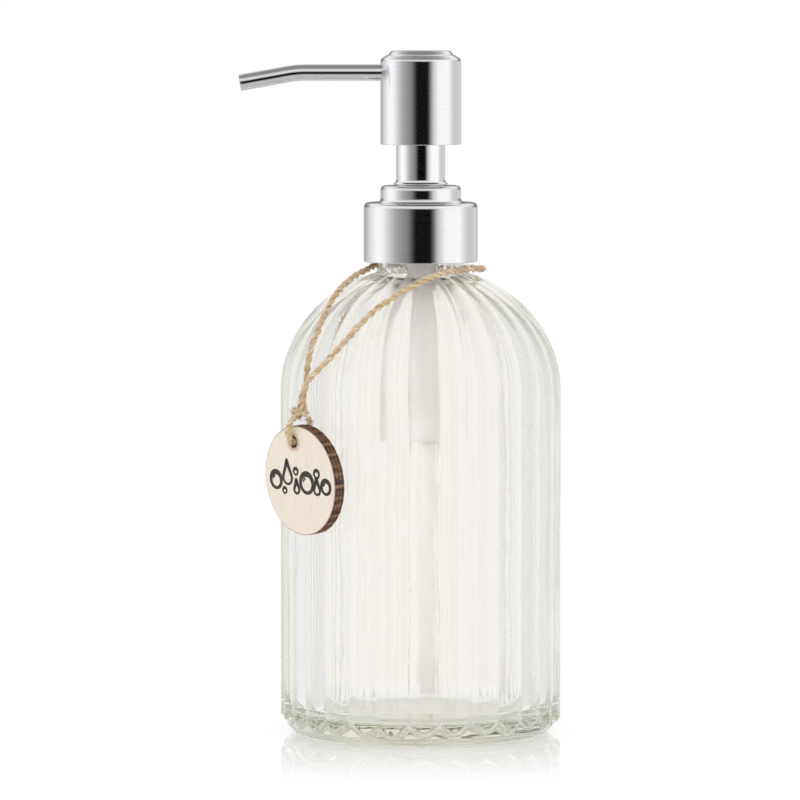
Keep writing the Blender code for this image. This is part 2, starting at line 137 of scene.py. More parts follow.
# The iron in the glass shows as a cool green only where the light goes a long way through it.
green = add(tree, "ShaderNodeVolumeAbsorption", {"Color": colour("#E0E2D2"), "Density": 10.5})
tree.links.new(green.outputs["Volume"], tree.nodes["Material Output"].inputs["Volume"])
# Moulded glass isn't optically flat: its skin rolls by some microns every few millimetres. Inside, where air
# blew it out, it rolls more, in long streaks, and is a little hazy. The attribute "blown" is 1 there.
place = add(tree, "ShaderNodeTexCoord").outputs["Object"]
roll = add(tree, "ShaderNodeMapping", {"Vector": place, "Scale": (1.0, 1.0, 0.45)})
ripple = add(tree, "ShaderNodeTexNoise", {"Vector": roll.outputs["Vector"], "Scale": 95.0, "Detail": 1.0})
bump = add(tree, "ShaderNodeBump", {"Height": ripple.outputs["Fac"], "Strength": 1.0, "Distance": 0.00005})
blown = add(tree, "ShaderNodeAttribute", attribute_name="blown")
streak = add(tree, "ShaderNodeMapping", {"Vector": place, "Scale": (1.0, 1.0, 0.22)})
streaks = add(tree, "ShaderNodeTexNoise", {
    "Vector": streak.outputs["Vector"], "Scale": 150.0, "Detail": 2.0, "Distortion": 0.8})
deeper = add(tree, "ShaderNodeBump", {
    "Height": streaks.outputs["Fac"], "Strength": blown.outputs["Fac"], "Distance": 0.00014,
    "Normal": bump.outputs["Normal"]})
tree.links.new(deeper.outputs["Normal"], shader.inputs["Normal"])
hazy = add(tree, "ShaderNodeMath", {0: blown.outputs["Fac"], 1: 0.13}, operation="MULTIPLY")
tree.links.new(hazy.outputs[0], shader.inputs["Roughness"])

BODY_R, WALL_TOP, DOME_RISE, WALL, RIM_Z, NECK_R, BORE_R = 40.0, 97.5, 35.6, 3.4, 145.8, 12.3, 10.0  # mm
FLUTES, FLUTE_DEPTH, FIRST_GROOVE = 28, 1.1, math.radians(8.0 - 90.0)
NECK_FOOT_Z, THREAD_Z, THREAD_PITCH, THREAD_DEEP = 134.6, 138.0, 4.235, 1.25  # mm
AROUND = 448  # points round the bottle, 16 to a flute


def bottle_outside():
    """Rows of points up the outside. A flute's section is a parabola in t, which is 0 at its crest and 1 at a
    groove, with the groove's bottom rounded over its last eighth. The wall is upright, the dome an ellipse,
    and a cubic joins it to the neck. Each flute's foot is a tongue that ends lower at the crest, and no two
    tongues end at quite the same height. The grooves wander by up to 0.25 mm, as slow waves up the wall."""
    turn = np.arange(AROUND) / AROUND * 2 * math.pi
    heel_z = np.array([0, 0, 0.1, 0.35, 0.75, 1.0, 1.15, 1.4, 1.7, 2.0, 2.2])
    heel_r = np.array([33.5, 35.2, 35.9, 36.5, 36.95, 36.97, 37.2, 37.6, 37.9, 38.1, 38.2])
    foot_z = np.arange(2.4, 9.4, 0.28)
    wall_z = np.linspace(9.6, WALL_TOP, 40)[:-1]
    theta = np.radians(np.linspace(0, 71.6, 46))
    dome_r, dome_z = BODY_R * np.cos(theta), WALL_TOP + DOME_RISE * np.sin(theta)
    share = np.linspace(0, 1, 12)[1:, None]
    start, end = np.array([dome_r[-1], dome_z[-1]]), np.array([NECK_R, NECK_FOOT_Z])
    pull, rise = start + np.array([-0.35, 0.13]), end - np.array([0.0, 1.2])
    join = (1 - share) ** 3 * start + 3 * (1 - share) ** 2 * share * pull
    join = join + 3 * (1 - share) * share**2 * rise + share**3 * end
    neck_z = np.arange(135.0, 145.3, 0.4)
    rim = np.radians(np.linspace(0, 90, 5))
    radius = np.concatenate([
        heel_r, np.full(len(foot_z) + len(wall_z), BODY_R), dome_r, join[:, 0], np.full(len(neck_z), NECK_R),
        NECK_R - 0.5 + 0.5 * np.cos(rim),
    ])
    height = np.concatenate([heel_z, foot_z, wall_z, dome_z, join[:, 1], neck_z, 145.3 + 0.5 * np.sin(rim)])
    h = height[:, None]
    wander = 0.0032 * (np.sin(h / 7.3 + 3 * turn) + 0.8 * np.sin(h / 4.1 - 7 * turn + 1))
    t = np.abs(2 * (((turn + wander) * FLUTES / (2 * math.pi)) % 1.0) - 1)
    sunk = t * t - np.maximum(0, t - 0.88) ** 2 / 0.12
    lift = np.clip((height - WALL_TOP) / DOME_RISE, 0, 1)
    deep = FLUTE_DEPTH * np.sqrt(1 - lift**2) ** 0.75 * eased((134.2 - height) / 2.6)
    # Where each tongue's rounded foot stands: 1 on the flute, 0 on the heel below it
    uneven = 0.45 * np.sin(3 * turn) + 0.35 * np.sin(8 * turn + 1) + 0.4 * np.sin(13 * turn + 4)
    foot = 3.0 + 2.6 * t**1.6 + uneven[None, :]
    flute = eased((h - foot) / 1.7 + 0.35)
    flute = np.where(h > 9.5, 1.0, flute)
    r = radius[:, None] - deep[:, None] * sunk
    below = np.interp(height, heel_z[2:], heel_r[2:])[:, None]
    r = np.where(h > 2.3, below + (r - below) * flute, radius[:, None])
    # The thread: one ridge, a turn and a quarter, 4.2 mm of rise to the turn
    for wind in (0, 1):
        along = turn + wind * 2 * math.pi
        ridge = THREAD_Z + THREAD_PITCH * along / (2 * math.pi)
        end_fade = eased(along / 0.5) * eased((2.5 * math.pi - along) / 0.5)
        r += THREAD_DEEP * end_fade[None, :] * eased(1.6 - np.abs(h - ridge[None, :]) / 0.62)
    a = turn + FIRST_GROOVE
    return np.stack([r * np.cos(a), r * np.sin(a), np.repeat(h, AROUND, 1)], -1)


def bottle_inside():
    """Rows of points down the inside, from rim to floor: a smooth shape of revolution that swells and thins
    by up to 0.17 mm, as the sum of three slow waves, because the glass was free of the mould there."""
    inside, rise = BODY_R - WALL, DOME_RISE - 3.0
    theta = np.radians(np.linspace(72.5, 0, 34))
    corner = np.radians(np.linspace(0, 90, 16))
    radius = np.concatenate([
        [BORE_R + 0.55, BORE_R + 0.2, BORE_R], np.full(12, BORE_R), inside * np.cos(theta) * 0.995,
        np.full(14, inside), inside - 5.0 + 5.0 * np.cos(corner) ** 1.2, np.linspace(30.6, 3.0, 10),
    ])
    height = np.concatenate([
        [RIM_Z, RIM_Z - 0.15, RIM_Z - 0.5], np.linspace(145.0, 131.2, 12), WALL_TOP + rise * np.sin(theta),
        np.linspace(95.0, 11.0, 14), 10.4 - 4.9 * np.sin(corner), 5.46 - 0.08 * np.linspace(0, 1, 10),
    ])
    a = np.arange(AROUND) / AROUND * 2 * math.pi + FIRST_GROOVE
    h = height[:, None]
    wave = np.sin(3 * a + h / 9) + 0.8 * np.sin(5 * a - h / 6.5 + 1) + 0.6 * np.sin(8 * a + h / 4.3 + 2)
    r = radius[:, None] + 0.07 * wave * np.clip((radius[:, None] - 12) / 20, 0, 1)
    return np.stack([r * np.cos(a), r * np.sin(a), np.repeat(h, AROUND, 1)], -1)


MM = 0.001
outside, inside_face = bottle_outside(), bottle_inside()
bottle = skin(
    "fluted_bottle", np.concatenate([outside, inside_face]) * MM, glass,
    poles=((0, 0, 0.0004), (0, 0, 0.00538)),
)
blown_side = np.zeros(len(bottle.data.vertices), np.float32)
blown_side[outside.shape[0] * AROUND :] = 1.0
blown_side[-2] = 0.0  # the pole under the heel
bottle.data.attributes.new("blown", "FLOAT", "POINT").data.foreach_set("value", blown_side)
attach(bottle, "bottle")
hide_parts("glass_bottle")

# ---------------------------------------------------------------- the pump's body
# Injection-moulded polypropylene barrel with a flange, left its natural milky colour, and a length of PE tube
# pressed into its foot. Both hang in the glass, and the collar clamps the flange on a soft gasket.

milky, tree, shader = finish(
    "natural_polypropylene", Base_Color=colour("#F4F2EE"), Roughness=0.32, Transmission_Weight=0.5, IOR=1.49
)
place = add(tree, "ShaderNodeTexCoord").outputs["Object"]
flow = add(tree, "ShaderNodeMapping", {"Vector": place, "Scale": (1.0, 1.0, 0.12)})
cloud = add(tree, "ShaderNodeTexNoise", {"Vector": flow.outputs["Vector"], "Scale": 420.0, "Detail": 3.0})
tone = stops(add(tree, "ShaderNodeValToRGB", {"Fac": cloud.outputs["Fac"]}),
             (0.3, colour("#F1EFEB")), (0.7, colour("#FAF8F5")))
tree.links.new(tone, shader.inputs["Base Color"])
bump = add(tree, "ShaderNodeBump", {"Height": cloud.outputs["Fac"], "Strength": 0.3, "Distance": 0.00004})
tree.links.new(bump.outputs["Normal"], shader.inputs["Normal"])


def softened(profile, radius, steps=5):
    """A closed profile with each corner turned into a short curve (a quadratic Bezier that starts and ends at
    most radius from the corner and never past 0.45 of a side)."""
    corner = np.asarray(profile, float)
    before, after = np.roll(corner, 1, 0) - corner, np.roll(corner, -1, 0) - corner
    length_b, length_a = (np.linalg.norm(v, axis=1, keepdims=True) for v in (before, after))
    start = corner + before * np.minimum(radius / length_b, 0.45)
    end = corner + after * np.minimum(radius / length_a, 0.45)
    t = np.linspace(0, 1, steps)[:, None, None]
    return ((1 - t) ** 2 * start + 2 * t * (1 - t) * corner + t * t * end).transpose(1, 0, 2).reshape(-1, 2)


def divided(profile, longest):
    """The closed profile with points added so that no side is longer than longest."""
    profile = np.asarray(profile, float)
    ends = np.roll(profile, -1, 0)
    parts = np.ceil(np.linalg.norm(ends - profile, axis=1) / longest).astype(int).clip(1)
    return np.concatenate([a + (b - a) * np.arange(n)[:, None] / n for a, b, n in zip(profile, ends, parts)])


def turned(name, profile, material, around=192):
    """A ring turned about Z from a closed (radius, height) profile in mm, anticlockwise seen with Z up."""
    profile = np.asarray(profile, float)
    a = np.arange(around) / around * 2 * math.pi
    r, z = profile[:, :1], profile[:, 1:]
    return skin(name, np.stack([r * np.cos(a), r * np.sin(a), z + 0 * a], -1) * MM, material, along=True)


barrel = [
    (2.9, 83.0), (4.8, 83.0), (5.2, 83.5), (5.2, 135.0), (8.4, 137.5), (8.4, 147.4), (12.3, 147.4),
    (12.3, 148.6), (6.6, 148.6), (6.6, 138.0), (4.5, 136.4), (4.5, 91.0), (1.2, 88.8), (1.2, 87.4),
    (2.9, 87.4),
]
housing = turned("pump_barrel", softened(barrel, 0.35), milky, 96)
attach(housing, "pump")
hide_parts("pump_housing")

clear_tube, tree, shader = finish(
    "extruded_polyethylene", Base_Color=colour("#FFFAF2"), Roughness=0.2, Transmission_Weight=0.45, IOR=1.5
)
place = add(tree, "ShaderNodeTexCoord").outputs["Object"]
draw = add(tree, "ShaderNodeMapping", {"Vector": place, "Scale": (1.0, 1.0, 0.02)})
lines = add(tree, "ShaderNodeTexNoise", {"Vector": draw.outputs["Vector"], "Scale": 1400.0, "Detail": 2.0})
tone = stops(add(tree, "ShaderNodeValToRGB", {"Fac": lines.outputs["Fac"]}),
             (0.3, colour("#FBF6EF")), (0.7, colour("#FEFCF8")))
tree.links.new(tone, shader.inputs["Base Color"])
tube_wall = [(1.9, 10.5), (2.6, 10.5), (2.6, 87.1), (1.9, 87.1)]
tube = turned("suction_tube", softened(tube_wall, 0.12), clear_tube, 48)
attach(tube, "pump")
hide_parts("dip_tube")

# ---------------------------------------------------------------- what sits inside the pump
# White moulded polypropylene and foamed PE, a rubber ring, a steel spring and two balls. They stay the CAD's
# own pieces. Each has the fine spark-eroded grain of its mould, or the drawn lines of its wire.

white, tree, shader = finish(
    "moulded_white_polypropylene", Base_Color=colour("#E9E9E5"), Roughness=0.42, IOR=1.49
)
place = add(tree, "ShaderNodeTexCoord").outputs["Object"]
spark = add(tree, "ShaderNodeTexNoise", {"Vector": place, "Scale": 5200.0, "Detail": 2.0})
grain = stops(add(tree, "ShaderNodeValToRGB", {"Fac": spark.outputs["Fac"]}), (0.3, 0.36), (0.7, 0.5))
tree.links.new(grain, shader.inputs["Roughness"])
bump = add(tree, "ShaderNodeBump", {"Height": spark.outputs["Fac"], "Strength": 0.35, "Distance": 0.00002})
tree.links.new(bump.outputs["Normal"], shader.inputs["Normal"])

rubber, tree, shader = finish("moulded_black_rubber", Base_Color=colour("#1B1B1C"), Roughness=0.62)
place = add(tree, "ShaderNodeTexCoord").outputs["Object"]
dust = add(tree, "ShaderNodeTexNoise", {"Vector": place, "Scale": 3800.0, "Detail": 4.0})
tone = stops(add(tree, "ShaderNodeValToRGB", {"Fac": dust.outputs["Fac"]}),
             (0.35, colour("#161617")), (0.8, colour("#2B2B2C")))
tree.links.new(tone, shader.inputs["Base Color"])

wire, tree, shader = finish("drawn_spring_steel", Base_Color=colour("#C9CACC"), Metallic=1.0, Roughness=0.22)
place = add(tree, "ShaderNodeTexCoord").outputs["Object"]
drawn = add(tree, "ShaderNodeTexNoise", {"Vector": place, "Scale": 2600.0, "Detail": 3.0})
grain = stops(add(tree, "ShaderNodeValToRGB", {"Fac": drawn.outputs["Fac"]}), (0.3, 0.16), (0.7, 0.3))
tree.links.new(grain, shader.inputs["Roughness"])

bead, tree, shader = finish(
    "ground_glass_ball", Base_Color=colour("#F4FBF8"), Roughness=0.03, IOR=1.5, Transmission_Weight=1.0
)
place = add(tree, "ShaderNodeTexCoord").outputs["Object"]
pits = add(tree, "ShaderNodeTexNoise", {"Vector": place, "Scale": 3000.0, "Detail": 2.0})
grain = stops(add(tree, "ShaderNodeValToRGB", {"Fac": pits.outputs["Fac"]}), (0.4, 0.02), (0.8, 0.12))
tree.links.new(grain, shader.inputs["Roughness"])

inner_finishes = {
    "threaded_closure": white, "neck_gasket": white, "guide_core": white, "valve_cage": white,
    "piston_stem": white, "head_core": white, "piston_seal": milky, "spout_seal": rubber,
    "return_spring": wire, "outlet_ball": wire, "inlet_ball": bead,
}
for node_name, material in inner_finishes.items():
    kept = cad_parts[node_name]
    kept.data.materials.clear()
    kept.data.materials.append(material)
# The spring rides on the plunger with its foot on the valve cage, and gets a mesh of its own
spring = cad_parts["return_spring"]
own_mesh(spring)

# ---------------------------------------------------------------- the steel collar, tower and head
# Stainless steel 304. The collar and the head are deep-drawn cups, brushed round and round on a lathe, which
# leaves a satin skin with hair-fine rings. The tower and the spout are drawn tube, polished.


def lathe_rings(tree, lines_per_mm):
    """Noise that follows the brush: thin across the profile, which is height plus radius, and long around."""
    place = add(tree, "ShaderNodeTexCoord").outputs["Object"]
    split = add(tree, "ShaderNodeSeparateXYZ", {"Vector": place})
    flat = add(tree, "ShaderNodeVectorMath", {0: place, 1: (1.0, 1.0, 0.0)}, operation="MULTIPLY")
    radius = add(tree, "ShaderNodeVectorMath", {0: flat.outputs["Vector"]}, operation="LENGTH")
    across = add(
        tree, "ShaderNodeMath", {0: split.outputs["Z"], 1: radius.outputs["Value"]}, operation="ADD")
    across = add(
        tree, "ShaderNodeMath", {0: across.outputs[0], 1: 1000.0 * lines_per_mm}, operation="MULTIPLY")
    around = add(tree, "ShaderNodeVectorMath", {0: flat.outputs["Vector"], "Scale": 90.0}, operation="SCALE")
    pieces = add(tree, "ShaderNodeSeparateXYZ", {"Vector": around.outputs["Vector"]})
    where = add(tree, "ShaderNodeCombineXYZ", {
        "X": pieces.outputs["X"], "Y": pieces.outputs["Y"], "Z": across.outputs[0]})
    return add(tree, "ShaderNodeTexNoise", {"Vector": where.outputs["Vector"], "Scale": 1.0, "Detail": 3.0})


brushed, tree, shader = finish(
    "brushed_stainless_steel", Base_Color=colour("#DFE0E2"), Metallic=1.0, Roughness=0.08, Anisotropic=0.2,
)
rings = lathe_rings(tree, 6.0)  # real brush lines are about 20 to the millimetre; these are coarser, to show
grain = stops(add(tree, "ShaderNodeValToRGB", {"Fac": rings.outputs["Fac"]}), (0.3, 0.06), (0.7, 0.11))
tree.links.new(grain, shader.inputs["Roughness"])
tone = stops(add(tree, "ShaderNodeValToRGB", {"Fac": rings.outputs["Fac"]}),
             (0.25, colour("#DADBDD")), (0.75, colour("#E4E5E6")))
tree.links.new(tone, shader.inputs["Base Color"])
bump = add(tree, "ShaderNodeBump", {"Height": rings.outputs["Fac"], "Strength": 0.16, "Distance": 0.000004})
tree.links.new(bump.outputs["Normal"], shader.inputs["Normal"])
ring_way = add(tree, "ShaderNodeTangent", direction_type="RADIAL", axis="Z")
tree.links.new(ring_way.outputs["Tangent"], shader.inputs["Tangent"])

polished, tree, shader = finish(
    "polished_stainless_tube", Base_Color=colour("#E2E3E5"), Metallic=1.0, Roughness=0.06
)
place = add(tree, "ShaderNodeTexCoord").outputs["Object"]
haze = add(tree, "ShaderNodeTexNoise", {"Vector": place, "Scale": 900.0, "Detail": 4.0})
grain = stops(add(tree, "ShaderNodeValToRGB", {"Fac": haze.outputs["Fac"]}), (0.35, 0.045), (0.75, 0.08))
tree.links.new(grain, shader.inputs["Roughness"])

collar_outline = [
    (16.2, 134.3), (16.2, 149.9), (15.9, 150.75), (15.2, 151.1), (12.35, 151.1), (11.65, 151.5),
    (11.45, 152.3), (11.45, 154.9), (11.15, 155.6), (10.45, 155.9), (7.3, 155.9), (7.3, 155.4),
    (10.45, 155.4), (10.95, 154.9), (10.95, 150.6), (15.2, 150.6), (15.7, 150.0), (15.7, 134.3),
]
collar = turned("steel_collar", divided(softened(collar_outline, 0.28), 1.2), brushed)
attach(collar, "collar")
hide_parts("collar_shell")

tower_outline = [
    (6.45, 150.5), (6.95, 150.5), (6.95, 156.25), (7.7, 156.25), (7.68, 156.5), (7.15, 156.85), (6.95, 157.5),
    (6.95, 169.2), (6.75, 169.5), (6.45, 169.5),
]
tower = turned("steel_tower", divided(softened(tower_outline, 0.2), 1.2), polished, 128)
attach(tower, "pump")
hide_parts("tower_sleeve")

head_outline = [
    (11.45, 167.6), (11.45, 191.25), (11.3, 191.85), (9.55, 193.0), (9.55, 192.4), (10.95, 191.4),
    (10.95, 167.6),
]
head = turned("steel_head", divided(softened(head_outline, 0.22), 0.7), brushed, 240)
SPOUT_Z, SPOUT_R, SPOUT_BORE = 188.0, 2.35, 1.85  # mm


def open_for_spout(piece, radius_mm):
    """Cuts the round hole through which the spout leaves, on the side towards -X. The drill is 6 mm long and
    centred on the head's wall."""
    bpy.ops.mesh.primitive_cylinder_add(
        vertices=64, radius=radius_mm * MM, depth=0.006, location=(-0.011, 0, SPOUT_Z * MM),
        rotation=(0, math.pi / 2, 0))
    drill = bpy.context.object
    cut = piece.modifiers.new("spout_hole", "BOOLEAN")
    cut.object, cut.operation, cut.solver = drill, "DIFFERENCE", "EXACT"
    bpy.context.view_layer.objects.active = piece
    bpy.ops.object.modifier_apply(modifier=cut.name)
    bpy.data.objects.remove(drill, do_unlink=True)
    piece.data.set_sharp_from_angle(angle=math.radians(50))


open_for_spout(head, SPOUT_R + 0.3)
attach(head, "head")
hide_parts("head_shell")

cap_r = np.array([8.9, 9.15, 9.25, 9.25, 9.2, 8.35, 8.1, 6.0, 3.0, 1.0])
cap_z = np.array([191.7, 191.72, 191.85, 193.0, 193.12, 194.08, 194.15, 194.15, 194.15, 194.15])
a = np.arange(192) / 192 * 2 * math.pi
cap = skin("steel_head_cap", np.stack([
    cap_r[:, None] * np.cos(a), cap_r[:, None] * np.sin(a), cap_z[:, None] + 0 * a], -1) * MM, brushed,
    poles=((0, 0, 0.1917), (0, 0, 0.19415)))
cap.data.set_sharp_from_angle(angle=math.radians(40))
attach(cap, "head")
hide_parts("head_cap")

# ---------------------------------------------------------------- the spout
# A length of 4.7 mm stainless tube, polished, bent down by ten degrees near its end and cut off square. It is
# pressed into the head's plastic core through a rubber ring.


def carried(path, ring, sideways):
    """A section carried along a path: the section's points are (across, up) pairs in mm, and across stays as
    near as it can to the given direction. Returns rows of points."""
    path = np.asarray(path, float)
    along = np.gradient(path, axis=0)
    along /= np.linalg.norm(along, axis=1, keepdims=True)
    side = np.asarray(sideways, float) - along * (along @ np.asarray(sideways, float))[:, None]
    side /= np.linalg.norm(side, axis=1, keepdims=True)
    up = np.cross(along, side)
    return path[:, None] + ring[..., :1] * side[:, None] + ring[..., 1:] * up[:, None]


droop, bend_r, corner_x, tip_x = math.radians(10.3), 30.0, -35.3, -51.4  # mm, but for the droop
bend_begin = corner_x + bend_r * math.tan(droop / 2)
run = np.stack([np.linspace(-4.3, bend_begin, 24)[:-1], np.zeros(23), np.full(23, SPOUT_Z)], -1)
swing = np.linspace(0, droop, 14)
bent = np.stack([
    bend_begin - bend_r * np.sin(swing), 0 * swing, SPOUT_Z + bend_r * (np.cos(swing) - 1)], -1)
fall = np.linspace(0, 1, 12)[1:, None] * (tip_x - bent[-1, 0]) / -math.cos(droop)
tip = bent[-1] + fall * np.array([-math.cos(droop), 0, -math.sin(droop)])
spout_path = np.concatenate([run, bent, tip])
a = np.arange(64) / 64 * 2 * math.pi
round_section = np.stack([np.cos(a), np.sin(a)], -1)
last_step = (spout_path[-1] - spout_path[-2]) / np.linalg.norm(spout_path[-1] - spout_path[-2])
# The sawn end has a broken edge: (mm from the end, radius) over the lip, from the outside to the bore
lip = (
    (-0.1, SPOUT_R), (-0.03, SPOUT_R - 0.03), (0.0, SPOUT_R - 0.1), (0.0, SPOUT_BORE + 0.06),
    (-0.1, SPOUT_BORE),
)
spout_rows = np.concatenate([
    carried(spout_path[:-1], SPOUT_R * round_section, (0, -1, 0)),
    *[carried([spout_path[-2], spout_path[-1] + last_step * back], r * round_section, (0, -1, 0))[1:]
      for back, r in lip],
    carried(spout_path[:-1], SPOUT_BORE * round_section, (0, -1, 0))[::-1],
])
spout = skin("steel_spout", spout_rows * MM, polished, along=True)
spout.data.set_sharp_from_angle(angle=math.radians(60))
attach(spout, "head")
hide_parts("spout_tube")

# ---------------------------------------------------------------- the jute tie
# Two-ply jute twine, 1.8 mm thick, undyed and hairy. It goes once round the neck above the dome and
# down to an overhand knot, below which a bight of it holds the tag.

jute, tree, shader = finish("two_ply_jute", Roughness=0.85, Sheen_Weight=0.25, Sheen_Roughness=0.5)
lay = add(tree, "ShaderNodeUVMap", uv_map="twine")
strand = add(tree, "ShaderNodeMapping", {"Vector": lay.outputs["UV"], "Scale": (13.0, 300.0, 1.0)})
fibres = add(tree, "ShaderNodeTexNoise", {"Vector": strand.outputs["Vector"], "Scale": 1.0, "Detail": 3.0})
patch = add(tree, "ShaderNodeMapping", {"Vector": lay.outputs["UV"], "Scale": (2.0, 260.0, 1.0)})
blotch = add(tree, "ShaderNodeTexNoise", {"Vector": patch.outputs["Vector"], "Scale": 1.0, "Detail": 2.0})
light = stops(add(tree, "ShaderNodeValToRGB", {"Fac": fibres.outputs["Fac"]}),
              (0.3, colour("#9C754C")), (0.47, colour("#E5CAA0")), (0.64, colour("#FFF4DF")))
part = add(tree, "ShaderNodeMath", {0: blotch.outputs["Fac"], 1: 0.5}, operation="MULTIPLY")
mixed = add(tree, "ShaderNodeMix", {"Factor": part.outputs[0], "A": light, "B": colour("#D6BD98")},
            data_type="RGBA", blend_type="MULTIPLY")
tree.links.new(mixed.outputs["Result"], shader.inputs["Base Color"])
bump = add(tree, "ShaderNodeBump", {"Height": fibres.outputs["Fac"], "Strength": 1.0, "Distance": 0.0003})
tree.links.new(bump.outputs["Normal"], shader.inputs["Normal"])

TWINE_R, TWIST = 0.9, 5.6  # mm: half the twine's thickness, and the length of one full turn of its two plies
PLY_R, PLY_APART = 0.5, 0.42  # mm: a ply's radius, and how far its middle lies from the twine's
TWINE_SIDES = 28


def evened(points, spacing):
    """The smooth curve (Catmull-Rom) through a route's points, as points an even spacing apart."""
    p = np.asarray(points, float)
    p = np.vstack([2 * p[0] - p[1], p, 2 * p[-1] - p[-2]])
    a, b, c, d = (p[k : len(p) - 3 + k, None] for k in range(4))
    t = np.linspace(0, 1, 24, endpoint=False)[:, None]
    fine = 0.5 * (2 * b + (c - a) * t + (2 * a - 5 * b + 4 * c - d) * t**2 + (3 * b - a - 3 * c + d) * t**3)
    fine = np.vstack([fine.reshape(-1, 3), p[-2]])
    far = np.concatenate([[0], np.cumsum(np.linalg.norm(np.diff(fine, axis=0), axis=1))])
    at = np.linspace(0, far[-1], max(2, round(far[-1] / spacing)) + 1)
    return np.stack([np.interp(at, far, fine[:, k]) for k in range(3)], -1)


def travelling_axes(path):
    """Two directions across a path that turn with it and never spin round it (each row's old side direction
    is carried over and squared up again)."""
    along = np.gradient(path, axis=0)
    along /= np.linalg.norm(along, axis=1, keepdims=True)
    side = np.cross(along[0], (0.3, 0.2, 0.93))
    sides = []
    for step in along:
        side = side - step * (side @ step)
        side = side / np.linalg.norm(side)
        sides.append(side)
    sides = np.array(sides)
    return along, sides, np.cross(along, sides)


def twisted(name, route, tuck=0.0, phase=0.0):
    """Two-ply twine along a route. Its section is the outline of two touching round plies, which turns once
    every TWIST mm, and its thickness wanders by up to an eighth. Its UV is (turn round the section, metres
    along)."""
    path = evened(route, 0.35)
    _, side, up = travelling_axes(path)
    far = np.arange(len(path)) * np.linalg.norm(path[1] - path[0])
    a = np.arange(TWINE_SIDES) / TWINE_SIDES * 2 * math.pi
    outline = PLY_APART * np.abs(np.cos(a)) + np.sqrt(PLY_R**2 - (PLY_APART * np.sin(a)) ** 2)
    wander = 1 + 0.05 * np.sin(far / 1.9 + phase) + 0.045 * np.sin(far / 0.83 + 2 * phase)
    wander = wander + 0.03 * np.sin(far * 2.3)
    wander = wander * (1 - tuck * (eased(1 - far / 1.2) + eased(1 - (far[-1] - far) / 1.2)))
    spin = a[None] + 2 * math.pi * far[:, None] / TWIST + phase
    r = outline[None] * wander[:, None]
    sideways, upwards = r * np.cos(spin), r * np.sin(spin)
    rows = path[:, None] + sideways[..., None] * side[:, None] + upwards[..., None] * up[:, None]
    piece = skin(name, rows * MM, jute, poles=(path[0] * MM, path[-1] * MM))
    corner_rows, corner_cols = np.divmod(np.minimum(loop_points(piece), rows[..., 0].size - 1), TWINE_SIDES)
    uv = np.stack([corner_cols / TWINE_SIDES, far[corner_rows] * MM], -1)
    uv[:, 0] = np.where(wraps(corner_cols), uv[:, 0] + 1, uv[:, 0])
    piece.data.uv_layers.new(name="twine").data.foreach_set("uv", uv.ravel())
    return piece, path


def loop_points(piece):
    """The point that each face corner of a mesh uses."""
    found = np.empty(len(piece.data.loops), int)
    piece.data.loops.foreach_get("vertex_index", found)
    return found


def wraps(columns):
    """Which corners belong to the last strip of a closed grid and lie at its first column."""
    quads = columns[: len(columns) // 4 * 4].reshape(-1, 4)
    crossing = (quads.max(1) - quads.min(1)) > TWINE_SIDES // 2
    flags = np.zeros(len(columns), bool)
    flags[: quads.size] = ((quads == 0) & crossing[:, None]).ravel()
    return flags


neck_route = [
    (-32.9, -26.2, 93.2), (-32.8, -25.6, 95.6), (-33.0, -25.3, 97.6), (-32.2, -25.8, 101.0),
    (-31.8, -25.0, 105.9), (-30.9, -23.2, 110.8), (-29.3, -21.5, 115.0), (-27.2, -18.4, 120.0),
    (-24.4, -13.4, 124.9), (-21.4, -8.2, 128.3), (-18.2, -3.8, 130.6), (-15.2, 0.2, 132.0),
    (-13.0, 4.6, 132.8), (-10.2, 9.6, 132.6), (-5.2, 13.9, 132.1), (1.5, 15.9, 131.8), (8.5, 14.4, 131.8),
    (14.2, 10.0, 131.9), (17.3, 4.2, 132.0), (17.4, -1.5, 132.3), (14.8, -6.6, 132.4), (10.4, -11.0, 132.2),
    (6.1, -15.4, 131.5), (1.8, -19.3, 130.2), (-2.2, -22.6, 128.4), (-5.4, -24.7, 126.8),
    (-8.9, -26.8, 124.6), (-12.9, -28.4, 121.9), (-17.1, -30.0, 118.0), (-20.7, -30.8, 114.0),
    (-24.9, -30.4, 109.3), (-29.6, -29.2, 104.4), (-32.4, -28.3, 101.0), (-33.3, -28.3, 97.6),
    (-33.7, -28.1, 95.6), (-33.8, -28.0, 93.4),
]
TAG_TURN, TAG_LEAN = math.radians(49.8), math.radians(4.5)
AWAY = np.array([-math.sin(TAG_TURN), -math.cos(TAG_TURN), 0.0])
ACROSS = np.array([math.cos(TAG_TURN), -math.sin(TAG_TURN), 0.0])


def from_tag(points):
    """Points given as (distance from the axis towards the tag, across, height) as places in the row."""
    points = np.asarray(points, float)
    return points[:, :1] * AWAY + points[:, 1:2] * ACROSS + points[:, 2:] * np.array([0, 0, 1.0])


bight_route = from_tag([
    (45.6, -0.3, 92.2), (47.0, -0.3, 91.3), (47.8, -0.5, 89.6), (47.9, -0.8, 88.0), (47.3, -1.0, 86.3),
    (46.2, -1.1, 85.2), (44.5, -1.1, 85.0), (42.9, -1.1, 85.3), (41.8, -0.9, 86.2), (41.35, -0.4, 87.7),
    (41.4, 0.4, 89.2), (41.6, 1.2, 90.5), (42.2, 0.8, 91.8),
])
# The knot: the twine goes once and a half round itself, lying level, and its end tucks up under the wrap
t = np.linspace(0, 1, 40)
wrap_turn = 2 * math.pi * (1.55 * t - 0.42)
wrap_route = from_tag(np.stack([
    43.3 + (1.35 + 0.18 * np.cos(3 * wrap_turn)) * np.cos(wrap_turn),
    -1.3 + 2.15 * np.sin(wrap_turn), 92.1 + 1.75 * t + 0.25 * np.sin(wrap_turn + 0.7)], -1))

